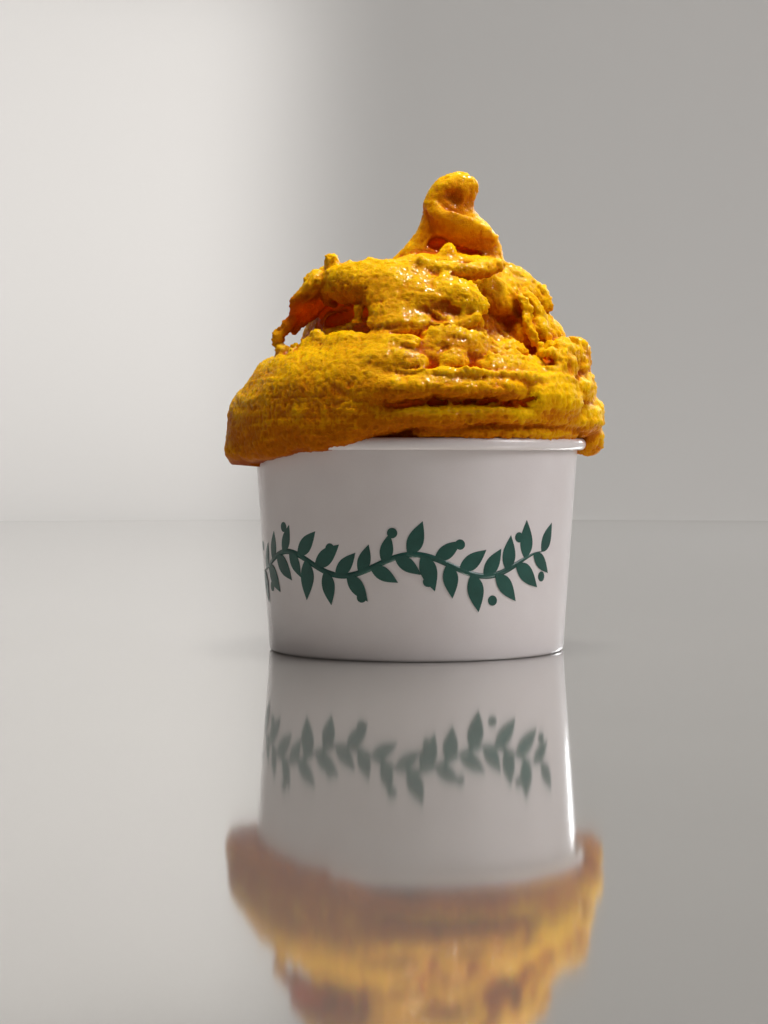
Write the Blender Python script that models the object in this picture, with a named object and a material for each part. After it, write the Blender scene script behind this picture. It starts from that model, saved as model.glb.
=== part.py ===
"""A paper cup heaped with gelato: the cup's wall with its rolled rim, its recessed base, and the gelato.

The gelato is one mass that fills the cup. Above the rim it is made the way a server makes it, from
paddle strokes laid round a core, with a wing that stands off at the left and a curled peak on top.
Sizes are in millimetres, angles in degrees, and MM turns them into Blender's metres.
"""

import math

import bmesh
import bpy
import numpy as np

MM = 0.001

# The cup
CUP_HEIGHT = 56.0
FOOT_RADIUS = 38.73
WALL_TAPER = 4.35
PAPER = 0.45
GAP = 0.3
RIM_RADIUS = 45.0
RIM_TALL = 3.1
RIM_WIDE = 2.7
CURL_END = -105
HEM_TALL = 6.0
FOLD_FACETS = 5
FLANGE_LOW = 1.4
SEAM_WIDE = 9.0
SEAM_THICK = 0.3
SIDES = 48

# The gelato
LOBE_BOTTOM = 50.2
BAND_TOP = 82.0
SHOULDER = 98.6
PEAK_TOP = 127.0
VOXEL = 1.15
KEPT_FACES = 0.052

PAPER_COLOUR = (0.80, 0.79, 0.77)
GELATO_COLOUR = (0.68, 0.32, 0.012)


def clear_scene():
    for thing in list(bpy.data.objects):
        bpy.data.objects.remove(thing)


def material(name, colour, roughness):
    made = bpy.data.materials.new(name)
    made.use_nodes = True
    shader = made.node_tree.nodes["Principled BSDF"]
    shader.inputs["Base Color"].default_value = (*colour, 1)
    shader.inputs["Roughness"].default_value = roughness
    shader.inputs["Metallic"].default_value = 0
    return made


def place(name, mesh, finish):
    thing = bpy.data.objects.new(name, mesh)
    bpy.context.scene.collection.objects.link(thing)
    thing.data.materials.append(finish)
    return thing


# ---------- the cup, turned from the line that its paper follows ----------

def wall_radius(height):
    """The wall's outer face."""
    return FOOT_RADIUS + height * math.tan(math.radians(WALL_TAPER))


def arc(centre, half_wide, half_tall, start, end, steps):
    angles = np.radians(np.linspace(start, end, steps))
    return [(centre[0] + half_wide * math.cos(a), centre[1] + half_tall * math.sin(a)) for a in angles]


def thickened(line, thickness):
    """The closed outline of a strip of paper whose middle follows the line."""
    points = np.array(line)
    along = np.gradient(points, axis=0)
    along /= np.linalg.norm(along, axis=1)[:, None]
    aside = np.stack([along[:, 1], -along[:, 0]], 1) * thickness / 2
    return np.vstack([points + aside, (points - aside)[::-1]])


def turned(name, outline, seam=0.0):
    """Spins a closed outline of radius and height round Z. A seam thickens its outer face at the back."""
    shape = bmesh.new()
    corners = [shape.verts.new((radius * MM, 0, height * MM)) for radius, height in outline]
    edges = [shape.edges.new((corners[i - 1], corners[i])) for i in range(len(corners))]
    bmesh.ops.spin(shape, geom=corners + edges, cent=(0, 0, 0), axis=(0, 0, 1),
                   angle=math.tau, steps=SIDES, use_merge=True)
    bmesh.ops.remove_doubles(shape, verts=shape.verts, dist=1e-6)
    on_axis = [edge for edge in shape.edges if not edge.link_faces]
    bmesh.ops.delete(shape, geom=on_axis, context="EDGES")
    for corner in shape.verts:
        radius = math.hypot(corner.co.x, corner.co.y) / MM
        height = corner.co.z / MM
        at_back = corner.co.y > 0 and abs(corner.co.x) < SEAM_WIDE / 2 * MM
        on_face = abs(radius - wall_radius(height)) < PAPER / 3
        if seam and at_back and on_face:
            corner.co.x *= 1 + seam / radius
            corner.co.y *= 1 + seam / radius
    bmesh.ops.recalc_face_normals(shape, faces=shape.faces)
    mesh = bpy.data.meshes.new(name)
    shape.to_mesh(mesh)
    shape.free()
    mesh.shade_smooth()
    mesh.set_sharp_from_angle(angle=math.radians(40))
    return mesh


def rim_centre():
    inner = wall_radius(CUP_HEIGHT - RIM_TALL) - PAPER
    return inner + RIM_WIDE / 2, CUP_HEIGHT - RIM_TALL / 2


def wall_line():
    """From the hem inside the foot, round the foot's fold, up the wall and round the rolled rim."""
    fold = PAPER + GAP
    # the fold is faceted, so its lowest facet, not a corner, lies at height 0
    low = (fold + PAPER / 2) * math.cos(math.pi / 2 / FOLD_FACETS)
    high = CUP_HEIGHT - RIM_TALL
    middle = lambda height: wall_radius(height) - PAPER / 2
    hem = [(middle(HEM_TALL) - 2 * fold, HEM_TALL)]
    foot = arc((middle(low) - fold, low), fold, fold, -180, 0, FOLD_FACETS + 1)
    wall = [(middle(height), height) for height in (high / 2, high)]
    across, up = rim_centre()
    half_wide, half_tall = (RIM_WIDE - PAPER) / 2, (RIM_TALL - PAPER) / 2
    curl = arc((across, up), half_wide, half_tall, 180, CURL_END, 11)
    return hem + foot + wall + curl


def base_line():
    """From the axis out along the disc, then down the flange that the foot's fold holds."""
    disc = HEM_TALL + GAP + PAPER / 2
    flange = lambda height: wall_radius(height) - PAPER / 2 - PAPER - GAP
    corner = flange(disc)
    return [(0, disc), (corner - 1, disc), (corner - 0.3, disc - 0.1), (flange(disc - 0.5), disc - 0.5),
            (flange(disc - 1.2), disc - 1.2), (flange(FLANGE_LOW), FLANGE_LOW)]


def make_cup():
    paper = material("coated_paper", PAPER_COLOUR, 0.42)
    place("cup_wall", turned("cup_wall", thickened(wall_line(), PAPER), seam=SEAM_THICK), paper)
    place("cup_base", turned("cup_base", thickened(base_line(), PAPER)), paper)


# ---------- the gelato ----------

def through(stations, count):
    """A smooth run through rows of numbers, read at an even spacing."""
    rows = np.array(stations, float)
    ends = np.vstack([2 * rows[0] - rows[1], rows, 2 * rows[-1] - rows[-2]])
    at = np.linspace(0, len(rows) - 1, count)
    k = np.minimum(at.astype(int), len(rows) - 2)
    t = (at - k)[:, None]
    a, b, c, d = ends[k], ends[k + 1], ends[k + 2], ends[k + 3]
    return (2 * b + (c - a) * t + (2 * a - 5 * b + 4 * c - d) * t**2 + (3 * b - a - 3 * c + d) * t**3) / 2


def spread(values, count):
    """One number, or a few along the stroke, as one for each ring."""
    if np.isscalar(values):
        return np.full(count, float(values))
    return through(np.array(values, float)[:, None], count)[:, 0]


def unit(rows):
    return rows / np.linalg.norm(rows, axis=1)[:, None]


def nose(count, blunt):
    """1 along a stroke, rounding off over the blunt share at each end."""
    place_along = np.linspace(0, 1, count)
    near = np.clip(np.minimum(place_along, 1 - place_along) / blunt, 0, 1)
    return np.sqrt(np.clip(1 - (1 - near) ** 2, 0.001, 1))


def skin(rings):
    """Points and faces of a closed skin over rings of points."""
    count, around = rings.shape[:2]
    points = np.vstack([rings.reshape(-1, 3), rings[:1].mean(1), rings[-1:].mean(1)])
    faces = []
    for i in range(count - 1):
        for k in range(around):
            n = (k + 1) % around
            faces.append((i * around + k, i * around + n, (i + 1) * around + n, (i + 1) * around + k))
    first, last, end = count * around, count * around + 1, (count - 1) * around
    for k in range(around):
        n = (k + 1) % around
        faces.append((first, n, k))
        faces.append((last, end + k, end + n))
    return points, faces


def ribbon(centres, upward, outward, half_tall, half_thick, square=2.6, around=20):
    """A bar with rounded edges along the centres, tall along upward and thick along outward."""
    angle = np.linspace(0, math.tau, around, endpoint=False)
    tall = np.sign(np.cos(angle)) * np.abs(np.cos(angle)) ** (2 / square)
    thick = np.sign(np.sin(angle)) * np.abs(np.sin(angle)) ** (2 / square)
    rings = (centres[:, None] + upward[:, None] * (half_tall[:, None] * tall)[..., None]
             + outward[:, None] * (half_thick[:, None] * thick)[..., None])
    return skin(rings)


def on_mound(turn, height, radius):
    """A point by its turn from the front, its height and its distance from the axis."""
    angle = math.radians(turn)
    return radius * math.sin(angle), -radius * math.cos(angle), height


def stroke(stations, half_tall, half_thick, lean=0.0, blunt=0.12, ripple=0.25):
    """A paddle stroke round the mound. Its stations are turn, height and radius; lean tips its top inwards."""
    first = np.array([on_mound(*row) for row in through(stations, 40)])
    length = np.linalg.norm(np.diff(first, axis=0), axis=1).sum()
    count = max(10, int(length / 1.6))
    centres = np.array([on_mound(*row) for row in through(stations, count)])
    radial = unit(centres * (1, 1, 0))
    along = unit(np.gradient(centres, axis=0))
    tip = np.radians(spread(lean, count))[:, None]
    upward = np.cos(tip) * np.array([0, 0, 1.0]) - np.sin(tip) * radial
    upward = unit(upward - along * (upward * along).sum(1)[:, None])
    outward = np.cross(upward, along)
    outward *= np.sign((outward * radial).sum(1))[:, None]
    ends = nose(count, blunt)
    wave = 1 + ripple * np.sin(np.linspace(0, length / 2.3, count) + stations[0][0]) / spread(half_tall, count)
    return ribbon(centres, upward, outward, spread(half_tall, count) * ends * wave,
                  spread(half_thick, count) * ends)


def rope(points, radii, flat=1.0, facing=(0, -1, 0), blunt=0.12):
    """A free tongue of gelato through points. flat is its thickness over its width, thin towards facing."""
    length = np.linalg.norm(np.diff(through(points, 40), axis=0), axis=1).sum()
    count = max(8, int(length / 1.3))
    centres = through(points, count)
    along = unit(np.gradient(centres, axis=0))
    face = through(facing, count) if np.ndim(facing) == 2 else np.tile(np.array(facing, float), (count, 1))
    outward = unit(face - along * (face * along).sum(1)[:, None])
    wide = spread(radii, count) * nose(count, blunt)
    return ribbon(centres, np.cross(along, outward), outward, wide, wide * spread(flat, count), 2.2, 14)


def lump(centre, radii):
    """A rounded lump with an uneven skin."""
    down = np.linspace(0.05, math.pi - 0.05, 12)[:, None]
    round_ = np.linspace(0, math.tau, 22, endpoint=False)[None]
    uneven = 1 + 0.05 * np.sin(3 * round_ + centre[0]) * np.sin(4 * down + centre[2])
    rings = np.stack([np.sin(down) * np.cos(round_), -np.sin(down) * np.sin(round_),
                      np.cos(down) + 0 * round_], -1) * uneven[..., None]
    return skin(rings * np.array(radii) + np.array(centre))


def core():
    """Fills the cup, clear of its wall, and carries the strokes up to the shoulder."""
    clear = PAPER + 2 * GAP
    floor = HEM_TALL + PAPER + 2 * GAP + 0.25
    brim = CUP_HEIGHT - RIM_TALL
    rows = [(wall_radius(floor) - clear - 0.2, floor), (wall_radius(brim) - clear - 0.3, brim),
            (41.6, CUP_HEIGHT), (42.6, 61), (43.0, 66), (41.6, 71), (37.2, 78), (32.6, 83.5),
            (28.8, 89), (25.0, 95), (19.0, SHOULDER), (8.0, SHOULDER + 2.6)]
    angle = np.linspace(0, math.tau, 60, endpoint=False)
    rings = [np.stack([r * np.cos(angle), r * np.sin(angle), angle * 0 + z], 1) for r, z in rows]
    return skin(np.array(rings))


def rim_strokes():
    """The lobe that hangs over the rim at the left and runs out along the front, and what lies on the rim."""
    low = LOBE_BOTTOM + 9.4
    lobe = stroke(
        [(-172, low - 1, 41.5), (-140, low - .6, 43), (-112, low - .2, 44.2), (-88, low, 44.3), (-66, low, 44.4),
         (-44, low - .2, 44.4), (-26, low - .3, 44), (-8, low + .7, 43.6), (10, low + 1.6, 43.2)],
        [6, 8, 9, 9.6, 9.2, 7.6, 6.2, 4.4, 2.8], [4.6, 5.6, 6.2, 6.6, 6, 5, 4.2, 4, 3.4],
        lean=[8, 8, 8, 6, 4, 0, -4, -6, -8])
    crest = stroke(
        [(-165, 67, 40), (-130, 68, 40.5), (-104, 69, 41), (-84, 69.6, 41.2), (-66, 69.4, 41.4),
         (-48, 67.4, 42.8), (-32, 65.2, 43.8), (-18, 64.6, 44)],
        [5, 6.5, 7.5, 8, 7.6, 5.4, 4, 2.4], [5, 5.4, 5.6, 5.8, 5.6, 5, 4.4, 3.8],
        lean=[34, 38, 42, 44, 42, 30, 16, 8])
    front = stroke([(-22, 60.5, 43.4), (-8, 61.2, 43.6), (24, 61.8, 44), (58, 61, 43)], [2.6, 3.1, 2.5, 2.4], 4,
                   lean=-8)
    under = stroke([(-2, 57.2, 41.5), (30, 57.4, 42), (70, 57.2, 42)], [1.6, 2, 2.2], 3.2)
    right = stroke([(52, 61.4, 42.4), (68, 61.6, 43), (86, 61.4, 44.6), (110, 61.4, 44)], [4, 4.6, 5.6, 6],
                   [3.6, 4, 4.8, 4.6])
    drip = stroke([(84, 57.8, 44.2), (94, 56.6, 46.4), (106, 56.4, 46.8), (120, 57.8, 45)], [3.4, 5.2, 5, 3],
                  [2.8, 4, 3.8, 2.6], blunt=0.25)
    return [lobe, crest, front, under, right, drip]


def middle_strokes():
    """Bands and scales between the rim and the upper dollop."""
    top = BAND_TOP
    return [
        stroke([(-58, 69, 42.5), (-40, 67.6, 44), (-6, 67.9, 45.2), (24, 67.8, 45), (36, 67.4, 44.4)],
               [3, 3.6, 2.8, 2.7, 2.4], 4, lean=[26, 22, 12, 10, 10]),
        stroke([(-14, 71.6, 43.2), (4, 71, 44), (38, 70.2, 44.8), (52, 69.4, 44)], [1.2, 1.5, 1.4, 1.2], 3.6, 24),
        stroke([(-56, 74.5, 38), (-20, 74.6, 40.4), (10, 73, 42)], [4.2, 4.2, 2.4], 4.4, lean=[36, 30, 26]),
        stroke([(-40, top - 3, 35.5), (-8, top - 3.6, 38.2), (2, top - 5, 39.6)], [2.6, 2.6, 1.8], 4.2, 36),
        stroke([(12, 75.2, 41.4), (33, 75.2, 42.4), (54, 72.6, 42)], [1.6, 2.2, 1.2], [3.6, 4.2, 3], 20),
        stroke([(10, 77.6, 39.4), (36, 78, 40.6), (60, 75, 40.4)], [1.2, 1.7, 1.2], 3.6, 24),
        stroke([(-5, 81.6, 36.8), (15, 80.8, 38.4), (26, 79.2, 38.4)], [1.4, 2.3, 1.5], [3.4, 4.2, 3.4], 26),
        stroke([(-9, 80.9, 37), (-3, 79.9, 38.6), (11, 77, 40.2)], [1.1, 1.7, 1], [3, 3.8, 3], 20),
        stroke([(-46, top, 33), (-17, top, 36.6), (-4, top, 36.6)], [2, 2.2, 1.6], 3.2, 24),
        stroke([(52, 76.4, 39.6), (66, 76.6, 41), (84, 77, 41.8), (112, 76, 41)], [3.6, 5, 5.8, 5.4],
               [3.8, 4.6, 4.8, 5], lean=6),
        stroke([(54, 68.4, 43), (86, 68.6, 43.6), (112, 68.4, 42.6)], [3.6, 5, 5], [3.6, 4.8, 4.6], 8),
        lump(on_mound(43, 64.9, 43.4), (9, 6.4, 5.6)),
    ]


def upper_strokes():
    """The upper dollop with its hooked lip, the shoulder's ribbon and the rough right-hand side."""
    return [
        stroke([(-78, 92.5, 26), (-56, 93, 28.4), (-16, 92.8, 30.6), (16, 91, 30.6), (27, 90.2, 31.2)],
               [5, 7.4, 8.4, 6.4, 2.4], [4, 4.8, 5.2, 4, 3], lean=[22, 22, 18, 16, 10]),
        rope([on_mound(9, 94.4, 34), on_mound(18, 93.4, 35.8), on_mound(30, 89.6, 37),
              on_mound(17, 85.6, 37.2), on_mound(8, 84.6, 36.6)], [1.3, 1.7, 1.9, 1.7, 1.2], facing=(.3, -1, .2)),
        stroke([(-96, SHOULDER - 1, 24.5), (-46, SHOULDER + .2, 25), (4, SHOULDER, 25.6),
                (38, SHOULDER + .8, 26.2), (62, SHOULDER + 2.4, 23.4), (92, SHOULDER + 3, 20.5)],
               [3, 3.4, 2.4, 1.8, 2.4, 3], [4.4, 4.4, 3.8, 3.6, 4, 4.6], lean=[14, 24, 24, 16, 24, 30]),
        lump((-4, 2, 97.4), (22, 20, 5)),
        stroke([(36, 92.6, 27.6), (54, 93.4, 28.4), (74, 94, 28.6), (100, 93.6, 28)], [5, 8.8, 10.4, 10],
               [4, 4.6, 4.8, 4.8], lean=[24, 32, 36, 36]),
        stroke([(48, 83.4, 33.6), (80, 83.4, 34.2), (104, 83, 33)], [3, 5.4, 5], [3.6, 4.8, 4.6], [20, 30, 32]),
    ]


def back_strokes():
    """Broad strokes round the back, each turned a little further than the one below."""
    made = []
    levels = [(61.4, 43.2, 5.4, 4), (69.6, 42.6, 4.6, 16), (76.8, 38.6, 4.6, 30), (84.2, 33, 5, 34), (92.4, 27.4, 5, 30)]
    for level, (height, radius, tall, lean) in enumerate(levels):
        shift = 9 * level
        made.append(stroke(
            [(96 + shift, height, radius), (130 + shift, height + 1.2, radius + .8),
             (165 + shift, height - .6, radius + .4), (200 + shift, height + .9, radius + .6),
             (232 + shift, height, radius - .4), (262 + shift / 2, height, radius - 1.5)],
            [tall * .7, tall, tall, tall, tall, tall * .7], 4.4, lean))
        made.append(stroke(
            [(118 + shift, height + 3.6, radius - 1.2), (190 + shift, height + 3.2, radius - .6),
             (225 + shift, height + 3.8, radius - 1.4)], [1.2, 1.6, 1.1], 4, lean))
    return made


def wing():
    """The tongue that stands off at the left with light behind it, the spike over it, the finger beside it."""
    return [
        rope([(-22, -18, 96.5), (-28.5, -17, 92.6), (-32.5, -16, 87.8), (-35.6, -15, 83.8), (-37.2, -14.6, 81.2),
              (-35.8, -15.6, 78.6), (-33.4, -17, 76.4)], [4.6, 3.6, 2.7, 2, 1.7, 1.6, 1.8],
             flat=[.75, .62, .6, .7, .9, .9], facing=[(.35, -.9, .3), (.5, -.8, .25), (.6, -.7, .3), (.3, -.9, 0)]),
        rope([(-20, -12, 92.4), (-26.5, -13, 88.4), (-30, -12, 84.6), (-31.2, -9, 80.6)], [5.2, 4.6, 4, 3.6],
             flat=.4, facing=(.5, -.8, .3)),
        lump((-28.4, -14, 97.6), (2.6, 2.8, 2.6)),
        rope([(-21.6, -12, 98), (-22.4, -12, 102), (-22.9, -12, 105.4)], [2.6, 1.9, 1.8], blunt=0.3),
        rope([(-27.6, -23.6, 83.4), (-25.6, -26.6, 81.6), (-23.4, -28.4, 79.2), (-22.6, -29, 77)],
             [1.4, 1.8, 1.6, 1.2]),
        lump((-33.5, -20, 76.8), (3.6, 3.6, 3)),
    ]


def peak():
    """A sheet drawn up from the shoulder that curls over at the top round a small pocket."""
    top = PEAK_TOP
    return [
        lump((8, 0, 101.4), (15.5, 13, 4.4)),
        rope([(1.5, 1, 101), (2.6, .5, 106), (4.2, 0, 111.5), (5.3, -.4, 117), (6.2, -.8, top - 5.2),
              (9.2, -1.4, top - 2.5), (12.9, -1.8, top - 3), (14.2, -2, top - 5.8), (13.2, -2.2, top - 8.8)],
             [4.4, 3.9, 3.4, 2.9, 2.5, 2.6, 2.5, 1.9, 1.4], flat=1.15),
        rope([(9.8, 3.2, top - 4), (10.2, 3.2, 118), (11.4, 2.6, 112.5), (13.4, 2, 107), (15.4, 1.5, 102)],
             [3.6, 5.2, 7.2, 8.8, 9.4], flat=.45, facing=(.1, -1, .15)),
        rope([(2.8, 1, 118.4), (4.4, -3.4, 115.8), (8.6, -5.2, 113.8), (13.2, -4.4, 112.6), (17, -2.6, 109.6),
              (19.6, -1, 105.8), (21, 0, 102)], [1.6, 2.4, 2.7, 2.9, 2.9, 2.8, 2.6], flat=.7,
             facing=[(-.8, -.6, .1), (-.3, -1, .2), (.1, -1, .3), (.5, -.9, .3)]),
        rope([(5, -3.4, 113.6), (9.4, -5.6, 111.2), (13.8, -6.4, 108.6), (17.6, -6, 105.4), (20.4, -4.6, 102.4)],
             [2.2, 3.6, 4, 3.8, 3], flat=.45, facing=[(-.2, -1, -.1), (0, -1, -.2), (.3, -1, 0)]),
        rope([(8.6, -8.5, 101), (8.9, -9, 104.6), (9.2, -8.6, 107)], [1.8, 1.5, 1.3], blunt=0.35),
    ]


def cup_clearance():
    """A cutter: the wall and rim grown by the gap, and everything outside the wall below the lobe."""
    low, brim, skirt_top = -2.0, CUP_HEIGHT - RIM_TALL, LOBE_BOTTOM - 0.6
    inner = [(wall_radius(z) - PAPER - GAP, z) for z in (low, brim)]
    over = arc(rim_centre(), RIM_WIDE / 2 + GAP, RIM_TALL / 2 + GAP, 165, -50, 9)
    skirt = [(wall_radius(skirt_top) + GAP + SEAM_THICK, skirt_top), (RIM_RADIUS * 1.4, skirt_top),
             (RIM_RADIUS * 1.4, low)]
    cutter = place("cup_clearance", turned("cup_clearance", inner + over + skirt),
                   material("cutter", (0.5, 0.5, 0.5), 0.5))
    cutter.hide_render = True
    cutter.display_type = "WIRE"
    return cutter


def make_gelato():
    parts = [core(), *rim_strokes(), *middle_strokes(), *upper_strokes(), *back_strokes(), *wing(), *peak()]
    points = np.vstack([points for points, _ in parts]) * MM
    offsets = np.cumsum([0] + [len(points_) for points_, _ in parts])
    faces = [tuple(int(i + first) for i in face)
             for first, (_, part_faces) in zip(offsets, parts) for face in part_faces]
    mesh = bpy.data.meshes.new("gelato")
    mesh.from_pydata(points.tolist(), [], faces)
    gelato = place("gelato", mesh, material("gelato", GELATO_COLOUR, 0.35))

    merge = gelato.modifiers.new("merge", "REMESH")
    merge.mode = "VOXEL"
    merge.voxel_size = VOXEL * MM
    merge.use_smooth_shade = True
    soften = gelato.modifiers.new("soften", "SMOOTH")
    soften.iterations = 1
    thin = gelato.modifiers.new("thin", "DECIMATE")
    thin.ratio = KEPT_FACES
    clear = gelato.modifiers.new("clear", "BOOLEAN")
    clear.operation = "DIFFERENCE"
    clear.object = cup_clearance()


clear_scene()
make_cup()
make_gelato()
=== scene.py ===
import itertools
import math

import bmesh
import bpy
import numpy as np
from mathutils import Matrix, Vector


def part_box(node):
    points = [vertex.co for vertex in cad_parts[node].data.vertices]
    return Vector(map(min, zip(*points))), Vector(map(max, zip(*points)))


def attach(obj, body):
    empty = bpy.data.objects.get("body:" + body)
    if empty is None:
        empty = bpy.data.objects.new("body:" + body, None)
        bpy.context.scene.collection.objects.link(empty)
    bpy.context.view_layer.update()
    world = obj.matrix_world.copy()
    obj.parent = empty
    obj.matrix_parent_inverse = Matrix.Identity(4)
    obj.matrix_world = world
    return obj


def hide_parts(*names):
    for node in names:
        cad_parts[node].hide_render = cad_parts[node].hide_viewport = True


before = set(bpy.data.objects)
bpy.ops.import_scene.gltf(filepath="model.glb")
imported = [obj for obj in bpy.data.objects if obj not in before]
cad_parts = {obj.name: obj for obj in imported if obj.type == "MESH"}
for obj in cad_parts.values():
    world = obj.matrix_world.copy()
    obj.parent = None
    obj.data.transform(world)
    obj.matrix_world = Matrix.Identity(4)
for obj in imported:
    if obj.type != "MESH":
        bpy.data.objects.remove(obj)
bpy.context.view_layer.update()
mm = 0.001


def boxOf(node):
    low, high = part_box(node)
    return np.array(low) / mm, np.array(high) / mm


wallLow, wallHigh = boxOf("cup_wall")
baseLow, baseHigh = boxOf("cup_base")
heapLow, heapHigh = boxOf("gelato")
rimTop = wallHigh[2]
print("frame loaded: cup", rimTop.round(1), "mm tall, heap up to", heapHigh[2].round(1), "mm")


# Noise, curves and meshes that the pieces share

def cellHeight(cell, seed):
    mixed = (cell[:, 0] * 73856093) ^ (cell[:, 1] * 19349663) ^ (cell[:, 2] * 83492791)
    mixed = mixed ^ (seed * 2654435761 + 97)
    mixed = (mixed ^ (mixed >> 15)) * 2246822519 & 0xFFFFFFFF
    mixed = (mixed ^ (mixed >> 13)) * 3266489917 & 0xFFFFFFFF
    return ((mixed ^ (mixed >> 16)) & 0xFFFF) / 32767.5 - 1


def softNoise(points, seed=0):
    # from -1 to 1, one bump to a unit
    cell = np.floor(points).astype(np.int64)
    part = points - cell
    blend = part * part * part * (part * (part * 6 - 15) + 10)
    total = np.zeros(len(points))
    for corner in itertools.product((0, 1), repeat=3):
        weight = np.prod(np.where(corner, blend, 1 - blend), axis=1)
        total += weight * cellHeight(cell + corner, seed)
    return total


def roughNoise(points, seed=0, octaves=3, gain=0.5):
    total = np.zeros(len(points))
    for octave in range(octaves):
        total += gain ** octave * softNoise(points * 2.03 ** octave + 11.7 * octave, seed + octave)
    return total


def rise(low, high, value):
    t = np.clip((value - low) / (high - low), 0, 1)
    return t * t * (3 - 2 * t)


def curveThrough(stations, count):
    # a smooth run through rows of numbers, read evenly
    rows = np.array(stations, float)
    if len(rows) == 1:
        rows = np.vstack([rows, rows])
    ends = np.vstack([2 * rows[0] - rows[1], rows, 2 * rows[-1] - rows[-2]])
    at = np.linspace(0, len(rows) - 1, count)
    k = np.minimum(at.astype(int), len(rows) - 2)
    t = (at - k)[:, None]
    a, b, c, d = ends[k], ends[k + 1], ends[k + 2], ends[k + 3]
    return (2 * b + (c - a) * t + (2 * a - 5 * b + 4 * c - d) * t**2 + (3 * b - a - 3 * c + d) * t**3) / 2


def alongStroke(values, count):
    values = np.atleast_1d(np.array(values, float))
    if len(values) == 1:
        return np.full(count, values[0])
    return curveThrough(values[:, None], count)[:, 0]


def unitRows(rows):
    return rows / np.linalg.norm(rows, axis=1)[:, None]


def roundEnds(count, blunt):
    # 1 along the stroke, falling off in a round nose over the blunt share at each end
    t = np.linspace(0, 1, count)
    near = np.clip(np.minimum(t / blunt[0], (1 - t) / blunt[1]), 0, 1)
    return np.sqrt(np.clip(1 - (1 - near) ** 2, 0.0004, 1))


def ringSkin(rings):
    # points and faces of a closed skin over rings of points, with a fan at each end
    count, around = rings.shape[:2]
    points = np.vstack([rings.reshape(-1, 3), rings[0].mean(0)[None], rings[-1].mean(0)[None]])
    i, k = np.meshgrid(np.arange(count - 1), np.arange(around), indexing="ij")
    n = (k + 1) % around
    sides = np.stack([i * around + k, i * around + n, (i + 1) * around + n, (i + 1) * around + k], -1)
    faces = [tuple(face) for face in sides.reshape(-1, 4).tolist()]
    first, last, end = count * around, count * around + 1, (count - 1) * around
    for k in range(around):
        n = (k + 1) % around
        faces.append((first, n, k))
        faces.append((last, end + k, end + n))
    return points, faces


def roundedBar(around, square):
    # the cross section's two coordinates, from -1 to 1
    angle = np.linspace(0, math.tau, around, endpoint=False)
    across = np.sign(np.cos(angle)) * np.abs(np.cos(angle)) ** (2 / square)
    deep = np.sign(np.sin(angle)) * np.abs(np.sin(angle)) ** (2 / square)
    return across, deep


def sweptBar(centres, sideways, outward, halfWide, halfThick, length, rough):
    # a closed bar along the centres, with its furrows, lumps and torn edges
    count = len(centres)
    across, deep = roundedBar(56, rough["square"])
    shape = (count, 56)
    run = np.broadcast_to(np.linspace(0, length, count)[:, None], shape)
    wide = halfWide[:, None] * across
    thick = halfThick[:, None] * deep * (1 - rough.get("wedge", 0) * (across + 1) / 2)
    seed = rough["seed"]

    def noiseAt(x, y, z, offset, octaves=3, gain=0.5):
        spots = [np.broadcast_to(v, shape).ravel() for v in (x, y, z)]
        return roughNoise(np.stack(spots, 1), seed + offset, octaves, gain).reshape(shape)

    warp = 0.6 * noiseAt(run / 9, wide / 6, deep, 31, 1)
    lines = noiseAt(run / 22, (wide + warp) / rough["furrowWide"], 0, 0, 2)
    lumps = noiseAt(run / 6, wide / 4.5, deep * 2, 7)
    tears = noiseAt(run / 2.2, np.sign(across) * 9, 0, 13, 3, 0.6)
    ends = rough["ends"][:, None]
    thick = thick + (rough["furrow"] * lines + rough["lumpy"] * lumps) * ends * np.where(deep > 0, 1, 0.3)
    wide = wide + (rough["ragged"] * tears * across**4 + 0.4 * rough["lumpy"] * lumps * np.sign(across)) * ends
    rings = centres[:, None] + sideways[:, None] * wide[..., None] + outward[:, None] * thick[..., None]
    return ringSkin(rings)


def onMound(turn, height, radius):
    # turn is in degrees from the front, towards the right
    angle = np.radians(turn)
    return np.stack([radius * np.sin(angle), -radius * np.cos(angle), height + 0 * angle], -1)


def paddleStroke(path, tall, thick, lean=0, furrow=0.25, furrowWide=1.6, ragged=0.8, lumpy=0.6,
                 blunt=(0.08, 0.08), square=2.6, seed=0, wave=0.0, wedge=0.0):
    # laid round the mound through rows of turn, height and radius; lean tips its top inwards
    first = onMound(*curveThrough(path, 50).T)
    length = np.linalg.norm(np.diff(first, axis=0), axis=1).sum()
    count = max(14, int(length / 0.8))
    track = curveThrough(path, count)
    track[:, 1] += wave * softNoise(np.stack([track[:, 0] / 14, 0 * track[:, 0], 0 * track[:, 0]], 1), seed + 5)
    centres = onMound(*track.T)
    radial = unitRows(centres * (1, 1, 0))
    forward = unitRows(np.gradient(centres, axis=0))
    tip = np.radians(alongStroke(lean, count))[:, None]
    upward = np.cos(tip) * np.array([0, 0, 1.0]) - np.sin(tip) * radial
    upward = unitRows(upward - forward * (upward * forward).sum(1)[:, None])
    outward = np.cross(upward, forward)
    outward *= np.sign((outward * radial).sum(1) + 1e-9)[:, None]
    ends = roundEnds(count, blunt)
    rough = dict(furrow=furrow, furrowWide=furrowWide, ragged=ragged, lumpy=lumpy, square=square, seed=seed, ends=ends,
                 wedge=wedge)
    halfTall, halfThick = alongStroke(tall, count) * ends, alongStroke(thick, count) * ends
    return sweptBar(centres, upward, outward, halfTall, halfThick, length, rough)


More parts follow.
